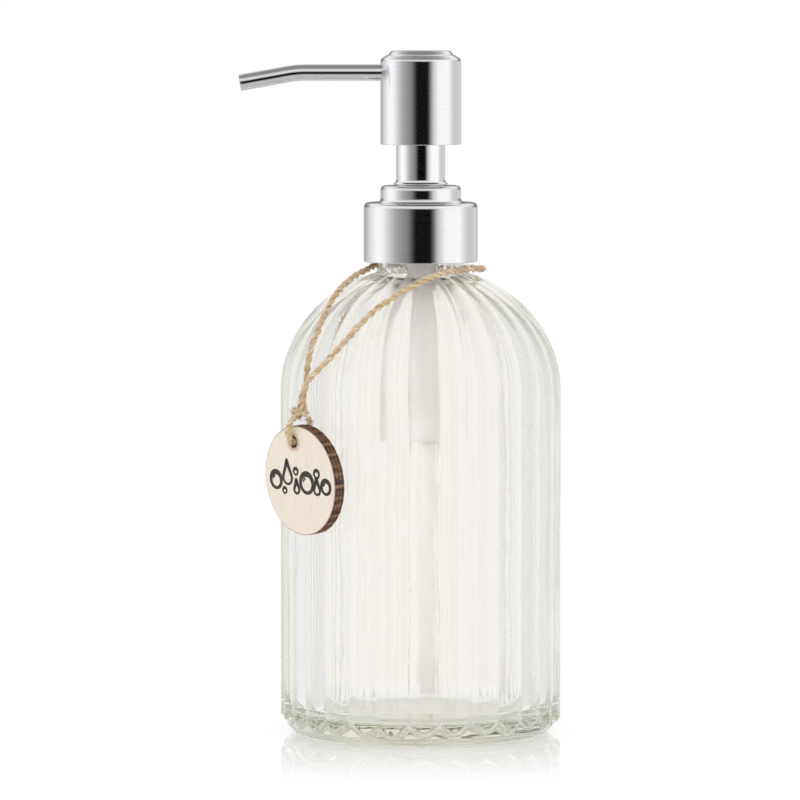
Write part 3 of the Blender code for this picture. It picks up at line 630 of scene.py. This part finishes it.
loop_piece, loop_path = twisted("jute_neck_loop", neck_route, tuck=0.2)
bight_piece, bight_path = twisted("jute_tag_bight", bight_route, tuck=0.2, phase=1.3)
knot_piece, knot_path = twisted("jute_knot", wrap_route, tuck=0.35, phase=2.1)


def hairs(name, path, per_mm, seed):
    """Loose fibres: thin three-sided spikes that leave the twine's surface at a slant and curl back. Each has
    four rings of three points along a quadratic curve and tapers to its tip."""
    rng = np.random.default_rng(seed)
    along, side, up = travelling_axes(path)
    far = len(path) * np.linalg.norm(path[1] - path[0])
    count = int(far * per_mm)
    at = rng.integers(1, len(path) - 1, count)
    turn = rng.uniform(0, 2 * math.pi, count)
    out = side[at] * np.cos(turn)[:, None] + up[at] * np.sin(turn)[:, None]
    slant = along[at] * rng.choice([-1, 1], count)[:, None]
    sway = np.cross(out, slant) * rng.normal(0, 0.5, count)[:, None]
    reach = rng.gamma(2.2, 0.42, count).clip(0.3, 2.2)[:, None]
    root = path[at] + out * 0.62
    knee = root + (out * 0.5 + slant * 0.7 + sway * 0.3) * reach * 0.6
    end = knee + (out * rng.uniform(-0.25, 0.6, count)[:, None] + slant * 0.8 + sway) * reach * 0.6
    s = np.linspace(0, 1, 4)[None, :, None]
    line = (1 - s) ** 2 * root[:, None] + 2 * s * (1 - s) * knee[:, None] + s * s * end[:, None]
    wide = (np.array([0.075, 0.06, 0.045, 0.012])[None, :] * rng.uniform(0.7, 1.3, count)[:, None])[..., None]
    ring = []
    for k in range(3):
        angle = 2 * math.pi * k / 3
        away = math.cos(angle) * out[:, None] + math.sin(angle) * np.cross(out, slant)[:, None]
        ring.append(line + wide * away)
    points = np.stack(ring, 2).reshape(-1, 3)
    first = (np.arange(count) * 12)[:, None, None, None]
    level = np.arange(3)[None, :, None, None] * 3
    corner = np.arange(3)[None, None, :, None]
    after = (np.arange(3)[None, None, :, None] + 1) % 3
    quads = np.concatenate([first + level + corner, first + level + after,
                            first + level + 3 + after, first + level + 3 + corner], -1).reshape(-1, 4)
    ends = np.concatenate([first[:, 0, 0] + np.array([[2, 1, 0]]), first[:, 0, 0] + np.array([[9, 10, 11]])])
    mesh = bpy.data.meshes.new(name)
    mesh.from_pydata((points * MM).tolist(), [], quads.tolist() + ends.tolist())
    mesh.polygons.foreach_set("use_smooth", np.ones(len(mesh.polygons), bool))
    mesh.materials.append(hair)
    mesh.update()
    piece = bpy.data.objects.new(name, mesh)
    bpy.context.scene.collection.objects.link(piece)
    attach(piece, "bottle")
    return piece


hair, tree, shader = finish("jute_fibre", Base_Color=colour("#D9BD97"), Roughness=0.8)
place = add(tree, "ShaderNodeTexCoord").outputs["Object"]
vary = add(tree, "ShaderNodeTexNoise", {"Vector": place, "Scale": 900.0, "Detail": 1.0})
tone = stops(add(tree, "ShaderNodeValToRGB", {"Fac": vary.outputs["Fac"]}),
             (0.35, colour("#CBA885")), (0.65, colour("#FAEBD7")))
tree.links.new(tone, shader.inputs["Base Color"])
hairs("jute_loop_fibres", loop_path, 7.0, 11)
hairs("jute_bight_fibres", bight_path, 14.0, 12)
hairs("jute_knot_fibres", knot_path, 20.0, 13)

for piece, node_name in (
    (loop_piece, "twine_loop"), (bight_piece, "twine_tag_loop"), (knot_piece, "twine_knot"),
):
    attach(piece, "bottle")
    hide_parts(node_name)


# ---------------------------------------------------------------- the tag
# Birch plywood, 3.4 mm, cut by laser, which chars its edge and browns the face by the hole. Its face carries
# a printed row of soap bubbles and drops, a mark of no particular maker.

TAG_R, TAG_THICK, HOLE_R = 15.5, 3.4, 1.6  # mm
TAG_Z, TAG_SIDE, TAG_FOOT = 74.5, 0.8, 40.4  # mm: its middle's height, and to the side; its foot from the axis
HOLE_AT = np.array([-1.9, 10.85])
AROUND_TAG, ACROSS_FACE = 240, 42  # points
TAG_UP = AWAY * math.sin(TAG_LEAN) + np.array([0, 0, math.cos(TAG_LEAN)])
TAG_OUT = AWAY * math.cos(TAG_LEAN) - np.array([0, 0, math.sin(TAG_LEAN)])
TAG_BACK = AWAY * (TAG_FOOT + TAG_R * math.sin(TAG_LEAN)) + ACROSS * TAG_SIDE + np.array([0, 0, TAG_Z])


def on_tag(x, y, depth):
    """Places on the tag from mm across its face, mm up it, and mm out of its back."""
    x, y, depth = np.broadcast_arrays(x, y, depth)
    return (TAG_BACK + x[..., None] * ACROSS + y[..., None] * TAG_UP + depth[..., None] * TAG_OUT) * MM


birch, tree, shader = finish("birch_plywood", Roughness=0.62)
where = add(tree, "ShaderNodeAttribute", attribute_name="tag_mm").outputs["Vector"]
split = add(tree, "ShaderNodeSeparateXYZ", {"Vector": where})
stretch = add(tree, "ShaderNodeMapping", {"Vector": where, "Scale": (2.6, 0.09, 0.6)})
fibre = add(tree, "ShaderNodeTexNoise", {"Vector": stretch.outputs["Vector"], "Scale": 1.0, "Detail": 5.0,
                                         "Roughness": 0.6})
face_tone = stops(add(tree, "ShaderNodeValToRGB", {"Fac": fibre.outputs["Fac"]}),
                  (0.25, colour("#E6D9C6")), (0.5, colour("#EFE5D5")), (0.8, colour("#F4ECDF")))
# Pores: short dark dashes along the grain, a tenth of a millimetre wide
dashes = add(tree, "ShaderNodeMapping", {"Vector": where, "Scale": (7.0, 0.55, 1.0)})
pores = add(tree, "ShaderNodeTexNoise", {"Vector": dashes.outputs["Vector"], "Scale": 1.0, "Detail": 1.0})
pore_mask = stops(add(tree, "ShaderNodeValToRGB", {"Fac": pores.outputs["Fac"]}), (0.66, 0.0), (0.76, 0.22))
face_tone = add(tree, "ShaderNodeMix", {"Factor": pore_mask, "A": face_tone, "B": colour("#C9B08C")},
                data_type="RGBA").outputs["Result"]
# The laser's heat: a brown bloom round the hole and a thin one along the rim
from_hole = add(tree, "ShaderNodeVectorMath", {0: where, 1: (*HOLE_AT.tolist(), 0.0)}, operation="SUBTRACT")
from_hole = add(tree, "ShaderNodeVectorMath", {0: from_hole.outputs["Vector"], 1: (1.0, 1.0, 0.0)},
                operation="MULTIPLY")
hole_far = add(tree, "ShaderNodeVectorMath", {0: from_hole.outputs["Vector"]}, operation="LENGTH")
smoke = add(tree, "ShaderNodeTexNoise", {"Vector": where, "Scale": 0.9, "Detail": 3.0})
ragged = add(tree, "ShaderNodeMath", {0: smoke.outputs["Fac"], 1: 1.6, 2: -0.8}, operation="MULTIPLY_ADD")
hole_far = add(tree, "ShaderNodeMath", {0: hole_far.outputs["Value"], 1: ragged.outputs[0]}, operation="ADD")
hole_part = add(tree, "ShaderNodeMapRange", {"Value": hole_far.outputs[0], "From Min": 1.5, "From Max": 3.3,
                                             "To Min": 0.75, "To Max": 0.0})
flat_place = add(tree, "ShaderNodeVectorMath", {0: where, 1: (1.0, 1.0, 0.0)}, operation="MULTIPLY")
rim_far = add(tree, "ShaderNodeVectorMath", {0: flat_place.outputs["Vector"]}, operation="LENGTH")
rim_part = add(tree, "ShaderNodeMapRange", {"Value": rim_far.outputs["Value"], "From Min": TAG_R - 0.45,
                                            "From Max": TAG_R - 0.05, "To Min": 0.0, "To Max": 0.9})
burn = add(tree, "ShaderNodeMath", {0: hole_part.outputs["Result"], 1: rim_part.outputs["Result"]},
           operation="MAXIMUM")
burnt_face = add(tree, "ShaderNodeMix", {"Factor": burn.outputs[0], "A": face_tone, "B": colour("#A9733F")},
                 data_type="RGBA").outputs["Result"]
# The cut edge: charred plies, dark where the glue lines are
plies = add(tree, "ShaderNodeMath", {0: split.outputs["Z"], 1: 2 * math.pi / 1.13}, operation="MULTIPLY")
plies = add(tree, "ShaderNodeMath", {0: plies.outputs[0]}, operation="COSINE")
char = add(tree, "ShaderNodeMapping", {"Vector": where, "Scale": (1.6, 1.6, 0.5)})
soot = add(tree, "ShaderNodeTexNoise", {"Vector": char.outputs["Vector"], "Scale": 1.0, "Detail": 5.0})
edge_mix = add(tree, "ShaderNodeMath", {0: plies.outputs[0], 1: 0.13, 2: soot.outputs["Fac"]},
               operation="MULTIPLY_ADD")
edge_tone = stops(add(tree, "ShaderNodeValToRGB", {"Fac": edge_mix.outputs[0]}),
                  (0.3, colour("#2E190B")), (0.5, colour("#4C2D19")), (0.75, colour("#8C6547")))
shape_side = add(tree, "ShaderNodeMapRange", {"Value": rim_far.outputs["Value"], "From Min": TAG_R - 0.14,
                                              "From Max": TAG_R - 0.04})
bore_side = add(tree, "ShaderNodeMapRange", {"Value": hole_far.outputs[0], "From Min": HOLE_R + 0.22,
                                             "From Max": HOLE_R + 0.02})
on_edge = add(tree, "ShaderNodeMath", {0: shape_side.outputs["Result"], 1: bore_side.outputs["Result"]},
              operation="MAXIMUM")
wood = add(tree, "ShaderNodeMix", {"Factor": on_edge.outputs[0], "A": burnt_face, "B": edge_tone},
           data_type="RGBA").outputs["Result"]
tree.links.new(wood, shader.inputs["Base Color"])
bump = add(tree, "ShaderNodeBump", {"Height": fibre.outputs["Fac"], "Strength": 0.5, "Distance": 0.00008})
tree.links.new(bump.outputs["Normal"], shader.inputs["Normal"])


def tag_surface():
    """The disc as a closed grid: round it, and across it from the hole over the front, the rim and the back.
    A point on the faces lies part of the way from the hole's circle to the rim's, and both circles' edges are
    rounded by a fifth of a millimetre. The laser leaves the rim a little uneven."""
    turn = np.arange(AROUND_TAG) / AROUND_TAG * 2 * math.pi
    edge = 0.2
    bend = np.radians(np.linspace(0, 90, 6))
    part = np.linspace(0, 1, ACROSS_FACE)
    # (share of the way out, extra mm outwards, depth) along the section
    share = np.concatenate([part, np.ones(12), np.ones(20), part[::-1], np.zeros(10)])
    extra = np.concatenate([
        np.where(part == 1, -edge, 0) + np.where(part == 0, edge, 0),
        np.concatenate([-edge + edge * np.sin(bend), np.zeros(6)]), np.zeros(14),
        -edge + edge * np.sin(bend[::-1]), np.where(part[::-1] == 0, edge, 0), np.zeros(10)])
    depth = np.concatenate([
        np.full(ACROSS_FACE, TAG_THICK), TAG_THICK - edge + edge * np.cos(bend), np.full(6, TAG_THICK - edge),
        np.linspace(TAG_THICK - edge, edge, 14), edge - edge * np.cos(bend[::-1]), np.zeros(ACROSS_FACE),
        np.linspace(0.1, TAG_THICK - 0.1, 10)])
    hole = HOLE_AT + HOLE_R * np.stack([np.cos(turn), np.sin(turn)], -1)
    ragged = 0.025 * np.sin(31 * turn) + 0.02 * np.sin(53 * turn + 1)
    rim = (TAG_R + ragged - 0.045)[:, None] * np.stack([np.cos(turn), np.sin(turn)], -1)
    s = share[:, None, None]
    flat = (1 - s) * hole[None] + s * rim[None]
    outwards = (1 - s) * (hole - HOLE_AT) / HOLE_R + s * rim / TAG_R
    flat = flat + extra[:, None, None] * outwards
    return flat[..., 0], flat[..., 1], np.repeat(depth[:, None], AROUND_TAG, 1)


tag_x, tag_y, tag_depth = tag_surface()
tag = skin("plywood_tag", on_tag(tag_x, tag_y, tag_depth)[::-1], birch, along=True)
place_on_tag = np.stack([tag_x, tag_y, tag_depth], -1)[::-1].reshape(-1, 3)
tag.data.attributes.new("tag_mm", "FLOAT_VECTOR", "POINT").data.foreach_set("vector", place_on_tag.ravel())
tag.data.set_sharp_from_angle(angle=math.radians(50))
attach(tag, "tag")
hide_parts("wooden_tag")

ink, tree, shader = finish("black_stamp_ink", Roughness=0.55)
where = add(tree, "ShaderNodeTexCoord").outputs["Object"]
worn = add(tree, "ShaderNodeTexNoise", {"Vector": where, "Scale": 1500.0, "Detail": 3.0})
tone = stops(add(tree, "ShaderNodeValToRGB", {"Fac": worn.outputs["Fac"]}),
             (0.45, colour("#1C1815")), (0.8, colour("#4A4038")))
tree.links.new(tone, shader.inputs["Base Color"])


def stroke(points, wide, closed=False):
    """A brush stroke on the tag: a ribbon about a smooth line, wide in its middle and narrow at its ends."""
    line = np.asarray(points, float)
    step = np.gradient(line, axis=0)
    if closed:
        step = np.roll(line, -1, 0) - np.roll(line, 1, 0)
    step /= np.linalg.norm(step, axis=1, keepdims=True)
    normal = np.stack([-step[:, 1], step[:, 0]], -1)
    share = np.linspace(0, 1, len(line))
    swell = 1 + 0.25 * np.sin(2 * math.pi * share) if closed else 0.35 + 0.65 * np.sin(math.pi * share) ** 0.6
    half = (0.5 * wide * swell)[:, None] * normal
    return np.stack([line + half, line + half * 0.33, line - half * 0.33, line - half], 0)


strokes = []
a = np.linspace(0, 2 * math.pi, 40, endpoint=False)
for x, y, r, wide in ((-10.6, -0.4, 2.3, 1.25), (3.0, -0.6, 2.7, 1.35), (-1.6, 2.5, 0.9, 0.8),
                      (7.6, 2.3, 1.1, 0.85), (11.4, -1.2, 1.9, 1.15), (-7.0, -3.2, 0.8, 0.75)):
    strokes.append((stroke(np.stack([x + r * np.cos(a), y + r * np.sin(a)], -1), wide, True), True))
    if r > 1.5:  # only the big bubbles have a glint
        glint = np.linspace(1.8, 3.0, 12)
        inner = 0.55 * r
        arc = np.stack([x + inner * np.cos(glint), y + inner * np.sin(glint)], -1)
        strokes.append((stroke(arc, 0.6), False))
for x, y, r in ((-5.4, 0.6, 1.9), (7.4, -2.2, 1.3), (-1.6, -2.6, 1.1)):
    # A drop: a circle whose top is drawn up to a point
    tall = np.maximum(0, np.sin(a)) ** 3
    strokes.append((stroke(np.stack([
        x + r * np.cos(a) * (1 - 0.8 * tall), y + r * np.sin(a) + 1.6 * r * tall], -1), 1.0, True), True))


def printed(name, lines, material, lift):
    """All strokes as one thin layer of ink on the face, closed on both sides."""
    points, faces, base = [], [], 0
    for rows, closed in lines:
        high, low = (on_tag(rows[..., 0], rows[..., 1], TAG_THICK + d) for d in (lift, 0.004))
        ring = np.concatenate([high, low[::-1]])
        count, wide = ring.shape[:2]
        index = np.arange(count * wide).reshape(count, wide) + base
        nxt = np.roll(index, -1, 0)
        if closed:
            quads = np.stack([index, nxt, np.roll(nxt, -1, 1), np.roll(index, -1, 1)], -1)
            faces += quads.reshape(-1, 4).tolist()
        else:
            quads = np.stack([index[:, :-1], nxt[:, :-1], nxt[:, 1:], index[:, 1:]], -1)
            faces += quads.reshape(-1, 4).tolist() + [index[:, 0].tolist()[::-1], index[:, -1].tolist()]
        points.append(ring.reshape(-1, 3))
        base += count * wide
    mesh = bpy.data.meshes.new(name)
    mesh.from_pydata(np.concatenate(points).tolist(), [], faces)
    mesh.materials.append(material)
    mesh.update()
    piece = bpy.data.objects.new(name, mesh)
    bpy.context.scene.collection.objects.link(piece)
    return piece


print_layer = printed("tag_print", strokes, ink, 0.03)
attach(print_layer, "tag")

# ---------------------------------------------------------------- floor, light and camera
# A white sweep with one dark card in front of the steel, and big soft panels to its left and right. The floor
# is clear but for a faint gloss and a painted shade right under the glass.

floor_mesh = bpy.data.meshes.new("floor")
floor_mesh.from_pydata([(-3, -3, 0), (3, -3, 0), (3, 3, 0), (-3, 3, 0)], [], [(0, 1, 2, 3)])
floor = bpy.data.objects.new("floor", floor_mesh)
bpy.context.scene.collection.objects.link(floor)
floor.location.z = -0.0002  # a hair below the glass, so that the two never share a plane
gloss_floor = bpy.data.materials.new("white_gloss_board")
gloss_floor.use_nodes = True
tree = gloss_floor.node_tree
tree.nodes.clear()
place = add(tree, "ShaderNodeTexCoord").outputs["Object"]
from_middle = add(tree, "ShaderNodeVectorMath", {0: place}, operation="LENGTH")
near = add(tree, "ShaderNodeMapRange", {
    "Value": from_middle.outputs["Value"], "From Min": 0.037, "From Max": 0.115, "To Min": 1.0,
    "To Max": 0.0})
near = add(tree, "ShaderNodeMath", {0: near.outputs["Result"], 1: 1.3}, operation="POWER")
# Painted shade: ambient occlusion darkens the clear floor's tint near and under the glass, as a contact shadow
shade = add(tree, "ShaderNodeAmbientOcclusion", {"Distance": 0.012}, samples=8)
painted_contact_shade = stops(add(tree, "ShaderNodeValToRGB", {"Fac": shade.outputs["AO"]}),
             (0.05, colour("#D0D1C4")), (0.3, colour("#F2F2EC")), (0.7, colour("#FDFDFC")),
             (1.0, colour("#FFFFFF")))
through = add(tree, "ShaderNodeBsdfTransparent", {"Color": painted_contact_shade})
mirror = add(tree, "ShaderNodeBsdfGlossy", {"Color": (1.0, 1.0, 1.0, 1.0), "Roughness": 0.0})
gloss = add(tree, "ShaderNodeMath", {0: near.outputs[0], 1: 0.6}, operation="MULTIPLY")
both = add(tree, "ShaderNodeMixShader", {
    "Fac": gloss.outputs[0], 1: through.outputs[0], 2: mirror.outputs[0]})
add(tree, "ShaderNodeOutputMaterial", {"Surface": both.outputs[0]})
floor_mesh.materials.append(gloss_floor)

world = bpy.data.worlds.new("studio")
bpy.context.scene.world = world
world.use_nodes = True
tree = world.node_tree
tree.nodes.clear()
towards = add(tree, "ShaderNodeTexCoord").outputs["Generated"]
axes = add(tree, "ShaderNodeSeparateXYZ", {"Vector": towards})
back_y = add(tree, "ShaderNodeMath", {0: axes.outputs["Y"], 1: -1.0}, operation="MULTIPLY")
azimuth = add(tree, "ShaderNodeMath", {0: axes.outputs["X"], 1: back_y.outputs[0]}, operation="ARCTAN2")
azimuth = add(tree, "ShaderNodeMapRange", {
    "Value": azimuth.outputs[0], "From Min": -math.pi, "From Max": math.pi})
elevation = add(tree, "ShaderNodeMath", {0: axes.outputs["Z"]}, operation="ARCSINE")
elevation = add(tree, "ShaderNodeMapRange", {
    "Value": elevation.outputs[0], "From Min": -math.pi / 2, "From Max": math.pi / 2})


def at_azimuth(degrees):
    """Where a ramp round the room has this bearing: 0 is the front, and the right is positive."""
    return (degrees + 180) / 360


def at_elevation(degrees):
    """Where a ramp from below to above has this height in degrees."""
    return (degrees + 90) / 180


# What the steel sees round it, level with the object
panels = stops(
    add(tree, "ShaderNodeValToRGB", {"Fac": azimuth.outputs["Result"]}),
    *[(at_azimuth(d), v) for d, v in (
        (-180, 0.40), (-154, 0.50), (-142, 0.66), (-118, 1.02), (-108, 1.18), (-97, 1.29), (-84, 1.20),
        (-76, 1.01), (-64, 0.73), (-53, 0.52), (-42, 0.40), (-33, 0.32), (-20, 0.22), (25, 0.35), (30, 0.46),
        (37, 0.78), (43, 0.95), (52, 1.23), (86, 1.26), (97, 1.0), (110, 0.77), (125, 0.75), (144, 0.82),
        (156, 0.70), (180, 0.40))])
card_sides = stops(add(tree, "ShaderNodeValToRGB", {"Fac": azimuth.outputs["Result"]}),
                   (at_azimuth(-29), 0.0), (at_azimuth(-9), 1.0), (at_azimuth(18), 1.0),
                   (at_azimuth(34), 0.0), smooth=True)
card_ends = stops(add(tree, "ShaderNodeValToRGB", {"Fac": elevation.outputs["Result"]}),
                  (at_elevation(-26), 0.0), (at_elevation(-15), 1.0), (at_elevation(4), 1.0),
                  (at_elevation(13), 0.0))
card = add(tree, "ShaderNodeMath", {0: card_sides, 1: card_ends}, operation="MULTIPLY")
overhead = stops(
    add(tree, "ShaderNodeValToRGB", {"Fac": elevation.outputs["Result"]}),
    *[(at_elevation(d), v) for d, v in (
        (-90, 0.40), (-50, 0.72), (-28, 0.75), (8, 0.9), (18, 1.15), (34, 1.15), (50, 0.55), (66, 0.32),
        (90, 0.28))])
away_from_level = stops(
    add(tree, "ShaderNodeValToRGB", {"Fac": elevation.outputs["Result"]}),
    *[(at_elevation(d), v) for d, v in (
        (-50, 1.0), (-25, 0.35), (-12, 0.0), (10, 0.0), (24, 0.7), (45, 1.0))])
lit = add(tree, "ShaderNodeMix", {"Factor": away_from_level, "A": panels, "B": overhead}, data_type="RGBA")
carded = add(tree, "ShaderNodeMix", {"Factor": card.outputs[0], "A": lit.outputs["Result"],
                                     "B": (0.002, 0.002, 0.002, 1.0)}, data_type="RGBA")
# The room is dark above and behind, which draws thin dark lines along the steel's upper edges
behind = stops(add(tree, "ShaderNodeValToRGB", {"Fac": azimuth.outputs["Result"]}),
               (at_azimuth(-150), 1.0), (at_azimuth(-125), 0.0), (at_azimuth(125), 0.0),
               (at_azimuth(150), 1.0))
above = stops(add(tree, "ShaderNodeValToRGB", {"Fac": elevation.outputs["Result"]}),
              (at_elevation(0), 0.0), (at_elevation(3), 1.0), (at_elevation(10), 1.0),
              (at_elevation(24), 0.0))
dark_room = add(tree, "ShaderNodeMath", {0: behind, 1: above}, operation="MULTIPLY")
carded = add(tree, "ShaderNodeMix", {"Factor": dark_room.outputs[0], "A": carded.outputs["Result"],
                                     "B": (0.24, 0.24, 0.24, 1.0)}, data_type="RGBA")
# What shows through the glass: a bright sweep, cool on the left, warm left of the middle, grey-green right
sweep = stops(
    add(tree, "ShaderNodeValToRGB", {"Fac": azimuth.outputs["Result"]}),
    *[(at_azimuth(d), colour(tint)) for d, tint in (
        (-180, "#FFFAF4"), (-171, "#F5F2ED"), (-160, "#FFFCF9"), (-143, "#EFF0F2"), (-110, "#F1F3F6"),
        (-50, "#E4E6E7"), (0, "#EDEAE4"), (60, "#E1E2DD"), (110, "#EAECE7"), (143, "#EAEAE6"),
        (160, "#FDFAF5"), (171, "#F2EFE9"), (180, "#FFFAF4"))])

paths = add(tree, "ShaderNodeLightPath")
as_seen = add(tree, "ShaderNodeBackground", {"Color": (1.0, 1.0, 1.0, 1.0)})
in_steel = add(tree, "ShaderNodeBackground", {"Color": carded.outputs["Result"]})
in_glass = add(tree, "ShaderNodeBackground", {"Color": sweep, "Strength": 0.99})
on_matt = add(tree, "ShaderNodeBackground", {"Color": (1.0, 1.0, 1.0, 1.0), "Strength": 1.0})
# Plastic inside the glass is lit by what comes in through it, which is stronger than the sweep behind it
lit_inside = add(tree, "ShaderNodeBackground", {"Color": (1.0, 0.99, 0.97, 1.0), "Strength": 2.35})
past_matt = add(tree, "ShaderNodeMath", {0: paths.outputs["Diffuse Depth"], 1: 0.5}, operation="GREATER_THAN")
through_glass = add(tree, "ShaderNodeMixShader", {
    "Fac": past_matt.outputs[0], 1: in_glass.outputs[0], 2: lit_inside.outputs[0]})
# Sharp reflections, in the glass and the floor board, see plain white, and the satin steel sees the panels
satin = add(tree, "ShaderNodeMath", {0: paths.outputs["Is Glossy Ray"], 1: paths.outputs["Is Singular Ray"]},
            operation="SUBTRACT", use_clamp=True)
first = add(tree, "ShaderNodeMixShader", {
    "Fac": satin.outputs[0], 1: on_matt.outputs[0], 2: in_steel.outputs[0]})
second = add(tree, "ShaderNodeMixShader", {
    "Fac": paths.outputs["Is Transmission Ray"], 1: first.outputs[0], 2: through_glass.outputs[0]})
third = add(tree, "ShaderNodeMixShader", {
    "Fac": paths.outputs["Is Camera Ray"], 1: second.outputs[0], 2: as_seen.outputs[0]})
add(tree, "ShaderNodeOutputWorld", {"Surface": third.outputs[0]})

lens = bpy.data.cameras.new("camera")
lens.lens, lens.sensor_width = 253.1, 36.0
camera = bpy.data.objects.new("camera", lens)
bpy.context.scene.collection.objects.link(camera)
camera.location = (0.0, -1.6, 0.215)
aim = Vector((-0.0059, 0.0, 0.0947))
camera.rotation_euler = (aim - camera.location).to_track_quat("-Z", "Y").to_euler()
bpy.context.scene.camera = camera

scene = bpy.context.scene
scene.view_settings.view_transform = "Standard"
scene.view_settings.look = "None"
scene.cycles.max_bounces = 64
scene.cycles.transmission_bounces = 64
scene.cycles.transparent_max_bounces = 28
scene.cycles.glossy_bounces = 64
scene.cycles.diffuse_bounces = 4

bpy.context.view_layer.update()
